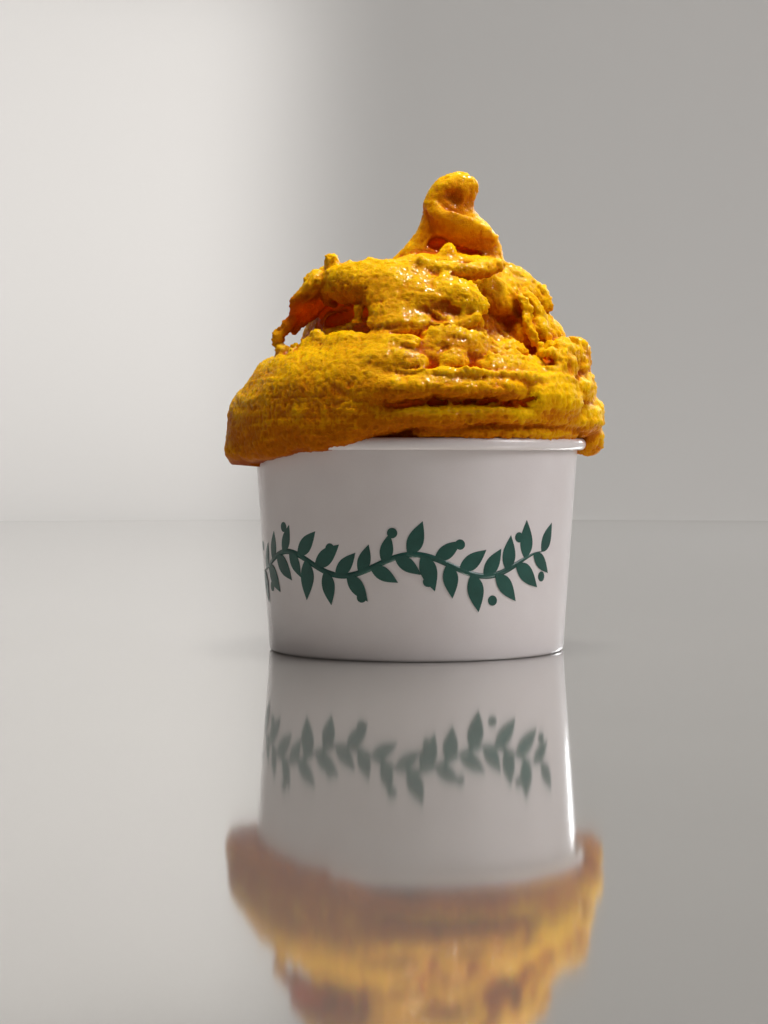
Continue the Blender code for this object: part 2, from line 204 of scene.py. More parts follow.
def softRope(points, radii, facing=(0, -1, 0), flat=1.0, lumpy=0.3, ragged=0.0, furrow=0.15,
             blunt=(0.12, 0.12), square=2.2, seed=0):
    # a free tongue or sheet through points; flat is its thickness over its width, thin towards facing
    length = np.linalg.norm(np.diff(curveThrough(points, 60), axis=0), axis=1).sum()
    count = max(14, int(length / 0.7))
    centres = curveThrough(points, count)
    forward = unitRows(np.gradient(centres, axis=0))
    face = np.array(facing, float)
    face = curveThrough(face, count) if face.ndim == 2 else np.tile(face, (count, 1))
    outward = unitRows(face - forward * (face * forward).sum(1)[:, None])
    ends = roundEnds(count, blunt)
    wide = alongStroke(radii, count) * ends
    rough = dict(furrow=furrow, furrowWide=1.5, ragged=ragged, lumpy=lumpy, square=square, seed=seed, ends=ends)
    return sweptBar(centres, np.cross(forward, outward), outward, wide, wide * alongStroke(flat, count), length, rough)


def roughLump(centre, radii, lumpy=0.8, grain=3.0, seed=0, rings=28, around=48, tilt=0):
    down = np.linspace(0.02, math.pi - 0.02, rings)[:, None]
    about = np.linspace(0, math.tau, around, endpoint=False)[None]
    unit = np.stack([np.sin(down) * np.cos(about), -np.sin(down) * np.sin(about), np.cos(down) + 0 * about], -1)
    points = unit.reshape(-1, 3) * np.array(radii, float)
    points += unit.reshape(-1, 3) * (lumpy * roughNoise(points / grain, seed))[:, None]
    c, s = math.cos(math.radians(tilt)), math.sin(math.radians(tilt))
    points = points @ np.array([[c, 0, s], [0, 1, 0], [-s, 0, c]]) + np.array(centre, float)
    return ringSkin(points.reshape(rings, around, 3))


def levelLoft(rows, lumpy=0.3, seed=0, around=64):
    # lying rings from rows of height, left, right, middle of depth and half depth
    across, deep = roundedBar(around, 2.4)
    rings = []
    for height, left, right, middle, half in curveThrough(rows, 70):
        x = (left + right) / 2 + (right - left) / 2 * across
        rings.append(np.stack([x, middle + half * deep, np.full(around, height)], 1))
    rings = np.array(rings)
    uneven = lumpy * roughNoise(rings.reshape(-1, 3) / 3.5, seed).reshape(rings.shape[:2])
    rings[..., 0] += uneven
    rings[..., 1] += 0.7 * uneven
    return ringSkin(rings)


def newObject(name, mesh, finish=None):
    made = bpy.data.objects.new(name, mesh)
    bpy.context.scene.collection.objects.link(made)
    if finish:
        mesh.materials.clear()
        mesh.materials.append(finish)
    return made


def meshOf(name, points, faces, edges=()):
    mesh = bpy.data.meshes.new(name)
    mesh.from_pydata((np.asarray(points) * mm).tolist(), list(edges), list(faces))
    mesh.update()
    return mesh


def joinedParts(name, parts):
    points, faces, base = [], [], 0
    for partPoints, partFaces in parts:
        points.append(partPoints)
        faces += [tuple(i + base for i in face) for face in partFaces]
        base += len(partPoints)
    return newObject(name, meshOf(name, np.vstack(points), faces))


def madePlain(thing):
    # what the modifiers show becomes the object's own mesh
    graph = bpy.context.evaluated_depsgraph_get()
    mesh = bpy.data.meshes.new_from_object(thing.evaluated_get(graph))
    mesh.name = thing.name
    thing.modifiers.clear()
    thing.data = mesh
    return thing


def pointsOf(mesh):
    flat = np.empty(len(mesh.vertices) * 3, np.float32)
    mesh.vertices.foreach_get("co", flat)
    return flat.reshape(-1, 3).astype(float) / mm


def normalsOf(mesh):
    flat = np.empty(len(mesh.vertices) * 3, np.float32)
    mesh.vertex_normals.foreach_get("vector", flat)
    return flat.reshape(-1, 3).astype(float)


def setPoints(mesh, points):
    mesh.vertices.foreach_set("co", (points * mm).astype(np.float32).ravel())
    mesh.update()


def setAttribute(mesh, name, values):
    held = mesh.attributes.new(name, "FLOAT", "POINT")
    held.data.foreach_set("value", np.asarray(values, np.float32))


# Node trees

def addNode(tree, kind, inputs=None, **settings):
    node = tree.nodes.new(kind)
    for name, value in settings.items():
        setattr(node, name, value)
    for name, value in (inputs or {}).items():
        if isinstance(value, bpy.types.NodeSocket):
            tree.links.new(value, node.inputs[name])
        else:
            node.inputs[name].default_value = value
    return node


def shaderTree(name):
    made = bpy.data.materials.new(name)
    made.use_nodes = True
    return made, made.node_tree, made.node_tree.nodes["Principled BSDF"]


def setShader(tree, shader, values):
    for name, value in values.items():
        if isinstance(value, bpy.types.NodeSocket):
            tree.links.new(value, shader.inputs[name])
        else:
            shader.inputs[name].default_value = value


def perMm(size):
    return 1 / (size * mm)  # a texture's scale for features of this size


def noiseNode(tree, place, size, detail=2.0, roughness=0.5, **more):
    inputs = {"Vector": place, "Scale": perMm(size), "Detail": detail, "Roughness": roughness}
    return addNode(tree, "ShaderNodeTexNoise", {**inputs, **more}).outputs["Fac"]


def mathNode(tree, operation, *values, clamp=False):
    node = addNode(tree, "ShaderNodeMath", dict(enumerate(values)), operation=operation, use_clamp=clamp)
    return node.outputs[0]


def spanNode(tree, value, low, high, newLow=0.0, newHigh=1.0):
    inputs = {"Value": value, "From Min": low, "From Max": high, "To Min": newLow, "To Max": newHigh}
    return addNode(tree, "ShaderNodeMapRange", inputs).outputs["Result"]


def blendNode(tree, share, first, second):
    node = addNode(tree, "ShaderNodeMix", {0: share}, data_type="RGBA")
    for socket, colour in ((node.inputs[6], first), (node.inputs[7], second)):
        if isinstance(colour, bpy.types.NodeSocket):
            tree.links.new(colour, socket)
        else:
            socket.default_value = (*colour, 1)
    return node.outputs[2]


def objectPlace(tree):
    return addNode(tree, "ShaderNodeTexCoord").outputs["Object"]


def geometryTree(name, inputs):
    tree = bpy.data.node_groups.new(name, "GeometryNodeTree")
    tree.is_modifier = True
    tree.interface.new_socket("Geometry", in_out="INPUT", socket_type="NodeSocketGeometry")
    for label, kind, value in inputs:
        tree.interface.new_socket(label, in_out="INPUT", socket_type="NodeSocket" + kind).default_value = value
    tree.interface.new_socket("Geometry", in_out="OUTPUT", socket_type="NodeSocketGeometry")
    return tree, addNode(tree, "NodeGroupInput"), addNode(tree, "NodeGroupOutput")


def finishTree(tree, end, geometry, finish):
    real = addNode(tree, "GeometryNodeRealizeInstances", {"Geometry": geometry})
    painted = addNode(tree, "GeometryNodeSetMaterial", {"Geometry": real.outputs[0], "Material": finish})
    tree.links.new(painted.outputs[0], end.inputs[0])


def grownByTree(base, tree, values):
    modifier = base.modifiers.new("grow", "NODES")
    modifier.node_group = tree
    for item in tree.interface.items_tree:
        if item.in_out == "INPUT" and item.name in values:
            modifier[item.identifier] = values[item.name]
    return madePlain(base)


# The paper cup

cup = dict(
    paper=0.45, gap=0.3, rimTall=3.1, rimWide=2.7, curlEnd=-105, hemTall=6.0,
    segments=240, wallRows=26, seamWide=9.0, seamThick=0.3, wobble=0.07,
)


def nearFoot(node):
    # the radius of a CAD node's mesh at its lowest ring
    flat = pointsOf(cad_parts[node].data)
    low = flat[flat[:, 2] < flat[:, 2].min() + 1.0]
    return np.hypot(low[:, 0], low[:, 1]).max()


footRadius = nearFoot("cup_wall")
wallTop = rimTop - cup["rimTall"]
topRadius = wallHigh[0] - cup["rimWide"] + cup["paper"]
wallSlope = (topRadius - footRadius) / wallTop


def wallRadius(height):
    return footRadius + wallSlope * height


def arcPoints(centre, halfWide, halfTall, start, end, steps):
    angles = np.radians(np.linspace(start, end, steps))
    return [(centre[0] + halfWide * math.cos(a), centre[1] + halfTall * math.sin(a)) for a in angles]


def paperStrip(line, thickness):
    # the closed outline of a strip of paper whose middle follows the line
    points = np.array(line)
    along = unitRows(np.gradient(points, axis=0))
    aside = np.stack([along[:, 1], -along[:, 0]], 1) * thickness / 2
    return np.vstack([points + aside, (points - aside)[::-1]])


def wallLine():
    # from the hem inside the foot, round its fold, up the wall and round the rolled rim
    fold = cup["paper"] + cup["gap"]
    low = fold + cup["paper"] / 2
    middle = lambda height: wallRadius(height) - cup["paper"] / 2
    hem = [(middle(cup["hemTall"]) - 2 * fold, cup["hemTall"]), (middle(3) - 2 * fold, 3)]
    foot = arcPoints((middle(low) - fold, low), fold, fold, -180, 0, 13)
    wall = [(middle(height), height) for height in np.linspace(low + 1, wallTop, cup["wallRows"])]
    halfWide, halfTall = (cup["rimWide"] - cup["paper"]) / 2, (cup["rimTall"] - cup["paper"]) / 2
    centre = (wallHigh[0] - cup["rimWide"] / 2, rimTop - cup["rimTall"] / 2)
    return hem + foot + wall + arcPoints(centre, halfWide, halfTall, 180, cup["curlEnd"], 34)


def floorLine():
    # out from the axis along the disc, then down the flange that the foot's fold holds
    disc = cup["hemTall"] + cup["gap"] + cup["paper"] / 2
    flange = lambda height: wallRadius(height) - cup["paper"] * 1.5 - cup["gap"]
    corner = flange(disc)
    bend = arcPoints((corner - 1.2, disc - 1.2), 1.2, 1.2, 90, 0, 7)
    dish = [(radius, disc) for radius in np.linspace(0.4, corner - 1.4, 18)]
    return dish + bend + [(flange(1.4), 1.4)]


def turningTree(finish):
    # turns the outline that it is given round the cup's axis
    tree, start, end = geometryTree("paperTurning", [("Segments", "Int", 240), ("Sweep Radius", "Float", 0.04)])
    outline = addNode(tree, "GeometryNodeMeshToCurve", {"Mesh": start.outputs["Geometry"]})
    circle = addNode(tree, "GeometryNodeCurvePrimitiveCircle",
                     {"Resolution": start.outputs["Segments"], "Radius": start.outputs["Sweep Radius"]})
    inputs = {"Curve": circle.outputs[0], "Profile Curve": outline.outputs[0]}
    swept = addNode(tree, "GeometryNodeCurveToMesh", inputs)
    finishTree(tree, end, swept.outputs[0], finish)
    return tree


def turnedPaper(name, line, finish):
    outline = paperStrip(line, cup["paper"])
    sweep = 30.0
    flat = np.stack([outline[:, 0] - sweep, -outline[:, 1], 0 * outline[:, 0]], 1)
    edges = [(i, (i + 1) % len(flat)) for i in range(len(flat))]
    made = newObject(name, meshOf(name, flat, [], edges))
    grownByTree(made, turningTree(finish), {"Segments": cup["segments"], "Sweep Radius": sweep * mm})
    shape = bmesh.new()
    shape.from_mesh(made.data)
    bmesh.ops.recalc_face_normals(shape, faces=shape.faces)
    shape.to_mesh(made.data)
    shape.free()
    made.data.shade_smooth()
    return made


def paperFinish():
    look = dict(
        white=(0.82, 0.755, 0.75), warm=(0.78, 0.71, 0.705), roughness=(0.36, 0.46),
        fibre=0.35, mottle=11.0, bump=0.10, coat=0.6, coatRoughness=0.09,
    )
    made, tree, shader = shaderTree("coated_paper")
    place = objectPlace(tree)
    fibres = noiseNode(tree, place, look["fibre"], 4, 0.6)
    mottle = noiseNode(tree, place, look["mottle"], 2)
    share = mathNode(tree, "MULTIPLY_ADD", fibres, 0.35, mathNode(tree, "MULTIPLY", mottle, 0.65))
    colour = blendNode(tree, spanNode(tree, share, 0.35, 0.65), look["white"], look["warm"])
    bump = addNode(tree, "ShaderNodeBump", {"Height": fibres, "Strength": look["bump"], "Distance": 0.1 * mm})
    setShader(tree, shader, {
        "Base Color": colour,
        "Roughness": spanNode(tree, mottle, 0.3, 0.7, *look["roughness"]),
        "Normal": bump.outputs[0],
        "Coat Weight": look["coat"],
        "Coat Roughness": look["coatRoughness"],
        "Subsurface Weight": 0.12,
        "Subsurface Radius": (1.0, 0.9, 0.8),
        "Subsurface Scale": 0.6 * mm,
    })
    return made


def makeCup():
    finish = paperFinish()
    wall = turnedPaper("paper_cup", wallLine(), finish)
    points = pointsOf(wall.data)
    radius = np.hypot(points[:, 0], points[:, 1])
    onWall = (points[:, 2] > 1.2) & (points[:, 2] < wallTop - 0.5)
    onFace = onWall & (np.abs(radius - wallRadius(points[:, 2])) < cup["paper"] / 3)
    atSeam = onFace & (points[:, 1] > 0) & (np.abs(points[:, 0]) < cup["seamWide"] / 2)
    free = onWall * rise(1.2, 8, points[:, 2]) * rise(wallTop, wallTop - 8, points[:, 2])
    push = atSeam * cup["seamThick"] + free * cup["wobble"] * roughNoise(points / (14, 14, 30), 9, 2)
    points[:, :2] *= (1 + push / radius)[:, None]
    setPoints(wall.data, points)
    floor = turnedPaper("cup_floor", floorLine(), finish)
    for piece, node in ((wall, "cup_wall"), (floor, "cup_base")):
        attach(piece, "root")
        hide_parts(node)
    print("cup turned")
    return wall


makeCup()


# The printed sprig: a waving stem with leaves and berries, wrapped on the wall

sprig = dict(
    length=93.0, height=24.2, wave=2.8, waves=2.5, turn=-14.0, stemWide=1.4,
    leaves=30, leafLong=8.8, leafWide=4.0, leafAngle=50.0, berries=12, berryWide=2.6, lift=0.035,
    inkThick=0.08,
)


def inkFinish():
    made, tree, shader = shaderTree("cup_print")
    place = objectPlace(tree)
    patchy = noiseNode(tree, place, 0.5, 4, 0.7)
    wide = noiseNode(tree, place, 6, 2)
    share = mathNode(tree, "MULTIPLY_ADD", patchy, 0.4, mathNode(tree, "MULTIPLY", wide, 0.6))
    colour = blendNode(tree, spanNode(tree, share, 0.35, 0.68), (0.006, 0.062, 0.047), (0.014, 0.105, 0.080))
    setShader(tree, shader, {"Base Color": colour, "Roughness": spanNode(tree, patchy, 0.3, 0.7, 0.32, 0.46),
                             "Coat Weight": 0.35, "Coat Roughness": 0.12})
    return made


def sprigTree(finish):
    # leaves and berries set along a stem that lies flat, then wrapped on the cup's cone
    tree, start, end = geometryTree("sprigPrint", [
        ("Stem Width", "Float", 1.0 * mm), ("Leaves", "Int", 20), ("Leaf Length", "Float", 9 * mm),
        ("Leaf Width", "Float", 4 * mm), ("Leaf Angle", "Float", 0.9), ("Berries", "Int", 8),
        ("Berry Width", "Float", 2.4 * mm), ("Turn", "Float", 0.0), ("Foot Radius", "Float", 38 * mm),
        ("Slope", "Float", 0.07), ("Lift", "Float", 0.04 * mm),
    ])
    given = start.outputs
    # stem
    stem = addNode(tree, "GeometryNodeMeshToCurve", {"Mesh": given["Geometry"]})
    halfStem = mathNode(tree, "MULTIPLY", given["Stem Width"], 0.5)
    lower = addNode(tree, "ShaderNodeCombineXYZ", {"X": mathNode(tree, "MULTIPLY", halfStem, -1.0)})
    upper = addNode(tree, "ShaderNodeCombineXYZ", {"X": halfStem})
    across = addNode(tree, "GeometryNodeCurvePrimitiveLine", {"Start": lower.outputs[0], "End": upper.outputs[0]})
    factor = addNode(tree, "GeometryNodeSplineParameter")
    thinning = mathNode(tree, "PINGPONG", factor.outputs["Factor"], 0.5)
    width = spanNode(tree, thinning, 0.0, 0.12, 0.15, 1.0)
    stemScaled = addNode(tree, "GeometryNodeSetCurveRadius", {"Curve": stem.outputs[0], "Radius": width})
    flatStem = addNode(tree, "GeometryNodeCurveToMesh",
                       {"Curve": stemScaled.outputs[0], "Profile Curve": across.outputs[0]})
    if "Scale" in flatStem.inputs:
        tree.links.new(width, flatStem.inputs["Scale"])
    # one leaf, its foot at the middle: a grid drawn in to a point at each end
    leaf = addNode(tree, "GeometryNodeMeshGrid", {"Size X": 1.0, "Size Y": 1.0, "Vertices X": 17, "Vertices Y": 5})
    place = addNode(tree, "GeometryNodeInputPosition")
    split = addNode(tree, "ShaderNodeSeparateXYZ", {"Vector": place.outputs[0]})
    t = mathNode(tree, "ADD", split.outputs["X"], 0.5)
    hump = mathNode(tree, "SINE", mathNode(tree, "MULTIPLY", mathNode(tree, "POWER", t, 0.8), math.pi))
    x = mathNode(tree, "MULTIPLY", t, given["Leaf Length"])
    y = mathNode(tree, "MULTIPLY", mathNode(tree, "MULTIPLY", split.outputs["Y"], given["Leaf Width"]), hump)
    curl = mathNode(tree, "MULTIPLY", mathNode(tree, "POWER", t, 2.0), mathNode(tree, "MULTIPLY", given["Leaf Length"], 0.14))
    leafSpot = addNode(tree, "ShaderNodeCombineXYZ", {"X": x, "Y": mathNode(tree, "ADD", y, curl)})
    leafMesh = addNode(tree, "GeometryNodeSetPosition", {"Geometry": leaf.outputs[0], "Position": leafSpot.outputs[0]})
    # leaves, left and right by turns
    spots = addNode(tree, "GeometryNodeCurveToPoints", {"Curve": stem.outputs[0], "Count": given["Leaves"]}, mode="COUNT")
    index = addNode(tree, "GeometryNodeInputIndex")
    side = mathNode(tree, "SUBTRACT", mathNode(tree, "MULTIPLY", mathNode(tree, "FLOORED_MODULO", index.outputs[0], 2.0), 2.0), 1.0)
    wobble = addNode(tree, "FunctionNodeRandomValue", {2: 0.82, 3: 1.18, "Seed": 4})
    angle = mathNode(tree, "MULTIPLY", mathNode(tree, "MULTIPLY", side, given["Leaf Angle"]), wobble.outputs[1])
    along = addNode(tree, "FunctionNodeAlignRotationToVector", {"Vector": spots.outputs["Tangent"]}, axis="X",
                    pivot_axis="Z")
    aside = addNode(tree, "FunctionNodeAxisAngleToRotation", {"Axis": (0, 0, 1), "Angle": angle})
    heading = addNode(tree, "FunctionNodeRotateRotation",
                      {"Rotation": along.outputs[0], "Rotate By": aside.outputs[0]}, rotation_space="GLOBAL")
    flip = addNode(tree, "ShaderNodeCombineXYZ", {"X": wobble.outputs[1], "Y": mathNode(tree, "MULTIPLY", side, wobble.outputs[1]), "Z": 1.0})
    leaves = addNode(tree, "GeometryNodeInstanceOnPoints", {
        "Points": spots.outputs[0], "Instance": leafMesh.outputs[0], "Rotation": heading.outputs[0],
        "Scale": flip.outputs[0]})
    # berries between the leaves
    disc = addNode(tree, "GeometryNodeMeshCircle", {"Vertices": 20, "Radius": mathNode(tree, "MULTIPLY", given["Berry Width"], 0.5)},
                   fill_type="TRIANGLE_FAN")
    berrySpots = addNode(tree, "GeometryNodeCurveToPoints", {"Curve": stem.outputs[0], "Count": given["Berries"]}, mode="COUNT")
    berrySide = mathNode(tree, "SUBTRACT", 1.0, mathNode(tree, "MULTIPLY", mathNode(tree, "FLOORED_MODULO", index.outputs[0], 2.0), 2.0))
    berryUp = mathNode(tree, "MULTIPLY", berrySide, mathNode(tree, "MULTIPLY", given["Leaf Length"], 0.72))
    berryMove = addNode(tree, "ShaderNodeCombineXYZ", {"Y": berryUp})
    moved = addNode(tree, "GeometryNodeSetPosition", {"Geometry": berrySpots.outputs[0], "Offset": berryMove.outputs[0]})
    berries = addNode(tree, "GeometryNodeInstanceOnPoints", {"Points": moved.outputs[0], "Instance": disc.outputs[0]})
    # all of it, wrapped
    both = addNode(tree, "GeometryNodeJoinGeometry")
    for part in (flatStem, leaves, berries):
        tree.links.new(part.outputs[0], both.inputs[0])
    real = addNode(tree, "GeometryNodeRealizeInstances", {"Geometry": both.outputs[0]})
    height = split.outputs["Y"]
    wall = mathNode(tree, "MULTIPLY_ADD", height, given["Slope"], given["Foot Radius"])
    about = mathNode(tree, "ADD", mathNode(tree, "DIVIDE", split.outputs["X"], wall), given["Turn"])
    radius = mathNode(tree, "ADD", wall, given["Lift"])
    wrapped = addNode(tree, "ShaderNodeCombineXYZ", {
        "X": mathNode(tree, "MULTIPLY", radius, mathNode(tree, "SINE", about)),
        "Y": mathNode(tree, "MULTIPLY", mathNode(tree, "MULTIPLY", radius, mathNode(tree, "COSINE", about)), -1.0),
        "Z": height})
    onCup = addNode(tree, "GeometryNodeSetPosition", {"Geometry": real.outputs[0], "Position": wrapped.outputs[0]})
    finishTree(tree, end, onCup.outputs[0], finish)
    return tree


def makeSprig():
    along = np.linspace(-0.5, 0.5, 121)
    height = sprig["height"] + sprig["wave"] * np.sin(along * math.tau * sprig["waves"] / 1.0)
    stem = np.stack([along * sprig["length"], height, 0 * along], 1)
    made = newObject("cup_sprig", meshOf("cup_sprig", stem, [], [(i, i + 1) for i in range(len(stem) - 1)]))
    grownByTree(made, sprigTree(inkFinish()), {
        "Stem Width": sprig["stemWide"] * mm, "Leaves": sprig["leaves"], "Leaf Length": sprig["leafLong"] * mm,
        "Leaf Width": sprig["leafWide"] * mm, "Leaf Angle": math.radians(sprig["leafAngle"]),
        "Berries": sprig["berries"], "Berry Width": sprig["berryWide"] * mm, "Turn": math.radians(sprig["turn"]),
        "Foot Radius": footRadius * mm, "Slope": float(wallSlope), "Lift": (cup["wobble"] + sprig["lift"]) * mm,
    })
    layer = made.modifiers.new("layer", "SOLIDIFY")
    layer.thickness = sprig["inkThick"] * mm
    layer.offset = -1
    madePlain(made)
    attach(made, "root")
    print("sprig printed")


makeSprig()


# The gelato heap: strokes round a core, hollows cut out, free tongues joined on, then its relief

heap = dict(
    voxel=0.40, cutterVoxel=0.6, keptTriangles=193000, plugTop=49.0,
    lobeEvening=110, furrow=0.19, lump=0.14, grain=0.09, ragged=0.19,
    crumb=0.2, flute=0.5, crisp=0.5,
)


def coreBody():
    rows = [(44, 41.0), (48, 41.4), (52, 41.8), (56, 41.5), (60, 42.5), (66, 43.0), (70, 42.0), (74, 39.0),
            (78, 34.5), (82, 31.0), (86, 29.5), (90, 27.5), (95, 25.0), (99, 20.0), (101.5, 12.0)]
    angle = np.linspace(0, math.tau, 120, endpoint=False)
    rings = []
    for height, radius in curveThrough(rows, 80):
        uneven = 1 + rise(58, 62, height) * (0.02 * np.sin(2 * angle + 1) + 0.015 * np.sin(3 * angle + height * 0.1))
        rings.append(np.stack([radius * uneven * np.cos(angle), -radius * uneven * np.sin(angle),
                               np.full(120, height)], 1))
    points = np.array(rings)
    flat = points.reshape(-1, 3)
    swell = rise(58, 70, flat[:, 2]) * 1.2 * roughNoise(flat / 6.0, 3)
    flat = flat + swell[:, None] * flat * (1, 1, 0.2) / 45
    return ringSkin(flat.reshape(points.shape))


def rimStrokes():
    # the lobe that hangs over the rim at the left and runs out along the front, and what lies on the rim
    return [
        paddleStroke(
            [(-172, 58.5, 41.5), (-140, 59, 42.6), (-112, 58.8, 43.8), (-92, 58.6, 44.9), (-68, 59.2, 44.4),
             (-44, 59.6, 43.8), (-26, 60.2, 43.8), (-8, 61.4, 43.4), (10, 61.8, 43.2)],
            [6, 8, 9, 10.6, 9.4, 7.9, 6.6, 4.8, 2.8], [4.6, 5.4, 6.0, 7.0, 6, 5.2, 4.6, 4.2, 3.4],
            lean=[8, 8, 8, 4, -2, -4, 4, 6, 0], furrow=0.25, furrowWide=3, lumpy=0.5, ragged=0.4,
            blunt=(0.1, 0.2), square=3, seed=1),
        paddleStroke(
            [(-165, 67, 40), (-130, 67.4, 39.6), (-104, 67.2, 39.6), (-86, 67.4, 41.2), (-66, 69.6, 40.8),
             (-48, 69.6, 41.4), (-30, 69.6, 42.0), (-14, 69.4, 42.8), (0, 68.8, 43.4)],
            [5, 6.5, 7.5, 8, 8, 7.4, 6.4, 4.6, 2.6], [5, 5.4, 5.6, 5.8, 5.8, 5.8, 5.4, 4.8, 3.8],
            lean=[34, 38, 42, 44, 42, 36, 30, 24, 16], furrow=0.25, furrowWide=2.5, lumpy=0.7, ragged=0.6,
            blunt=(0.1, 0.2), seed=61),
        # lower band and the layer under it
        paddleStroke([(-22, 60.5, 43.4), (-8, 61.2, 43.6), (8, 61.4, 43.7), (24, 61.8, 44), (40, 61.6, 44),
                      (58, 61, 43)], [2.6, 3.1, 3.0, 2.5, 2.5, 2.4], 4, lean=-8, lumpy=0.4, ragged=0.5, seed=2),
        paddleStroke([(-2, 57.2, 41.5), (14, 57.4, 41.8), (30, 57.4, 42), (48, 57.4, 42), (70, 57.2, 42)],
                     [1.6, 1.9, 2, 2.2, 2.2], 3.2, ragged=0.5, seed=3),
        # right side, down to the drip over the rim
        paddleStroke([(52, 61.4, 42.4), (68, 61.6, 43.0), (86, 61.4, 44.4), (110, 61.4, 44)],
                     [4.0, 4.6, 5.6, 6.0], [3.6, 4, 4.6, 4.6], lean=2, lumpy=0.9, seed=24),
        paddleStroke([(84, 57.8, 44.2), (94, 56.6, 46.2), (106, 56.4, 46.6), (120, 57.8, 45)],
                     [3.4, 5.2, 5.0, 3.0], [2.8, 3.8, 3.6, 2.6], lean=-4, lumpy=0.7, ragged=0.6,
                     blunt=(0.2, 0.3), square=2.2, seed=25),
    ]


def frontBands():
    # the broad bands across the front, from the rim up to the scales
    return [
        paddleStroke([(-24, 66.4, 44.2), (-10, 67.6, 45), (2, 67.9, 45.2), (14, 67.9, 45.2), (26, 67.8, 45),
                      (37, 67.4, 44.4)], [2.0, 2.9, 2.8, 2.6, 2.7, 2.4], [3.6, 4.0, 4, 4, 4, 3.6],
                     lean=[16, 12, 10, 10, 10], lumpy=0.45, ragged=0.9, seed=4),
        paddleStroke([(-14, 71.6, 43.2), (4, 71.0, 44), (20, 70.8, 44.6), (38, 70.2, 44.8), (52, 69.4, 44)],
                     [1.2, 1.5, 1.3, 1.4, 1.2], 3.6, lean=24, ragged=1.0, seed=5),
        paddleStroke([(-20, 72.6, 40.2), (10, 72.8, 38.8), (40, 72.8, 39.0), (64, 72, 40)], 2.6, 4.0, lean=22, seed=62),
        paddleStroke([(-10, 77.0, 35.4), (20, 77.4, 34.4), (50, 77, 35.0)], 2.6, 4.0, lean=30, seed=63),
        paddleStroke([(-56, 74.5, 38), (-38, 74.4, 39.5), (-20, 74.6, 40.4), (-6, 74.0, 41), (4, 73.0, 41)],
                     [4.2, 4.6, 4.2, 3.4, 2.4], 4.4, lean=[36, 34, 30, 28, 26], furrow=0.5, furrowWide=1.1, seed=6),
        paddleStroke([(-40, 78.6, 35.0), (-24, 78.8, 37.0), (-8, 78.4, 38.2), (2, 77, 39.6)],
                     [2.6, 3.0, 2.6, 1.8], 4.2, lean=36, lumpy=0.5, furrow=0.5, furrowWide=1.1, seed=7),
    ]


def ledge(line, tall, thick=2.2, lean=4, ragged=0.7, seed=0, blunt=(0.2, 0.2), lumpy=0.16):
    # a soft fold whose free upper edge runs through rows of place across, height and radius
    tip = math.radians(lean)
    rows = [(math.degrees(math.asin(across / radius)), height - tall * math.cos(tip),
             radius + tall * math.sin(tip) - 0.5 * thick) for across, height, radius in line]
    return paddleStroke(rows, tall, thick, lean=lean, ragged=ragged, lumpy=lumpy, furrow=0.06, blunt=blunt,
                        square=2.1, seed=seed, wedge=0.72)


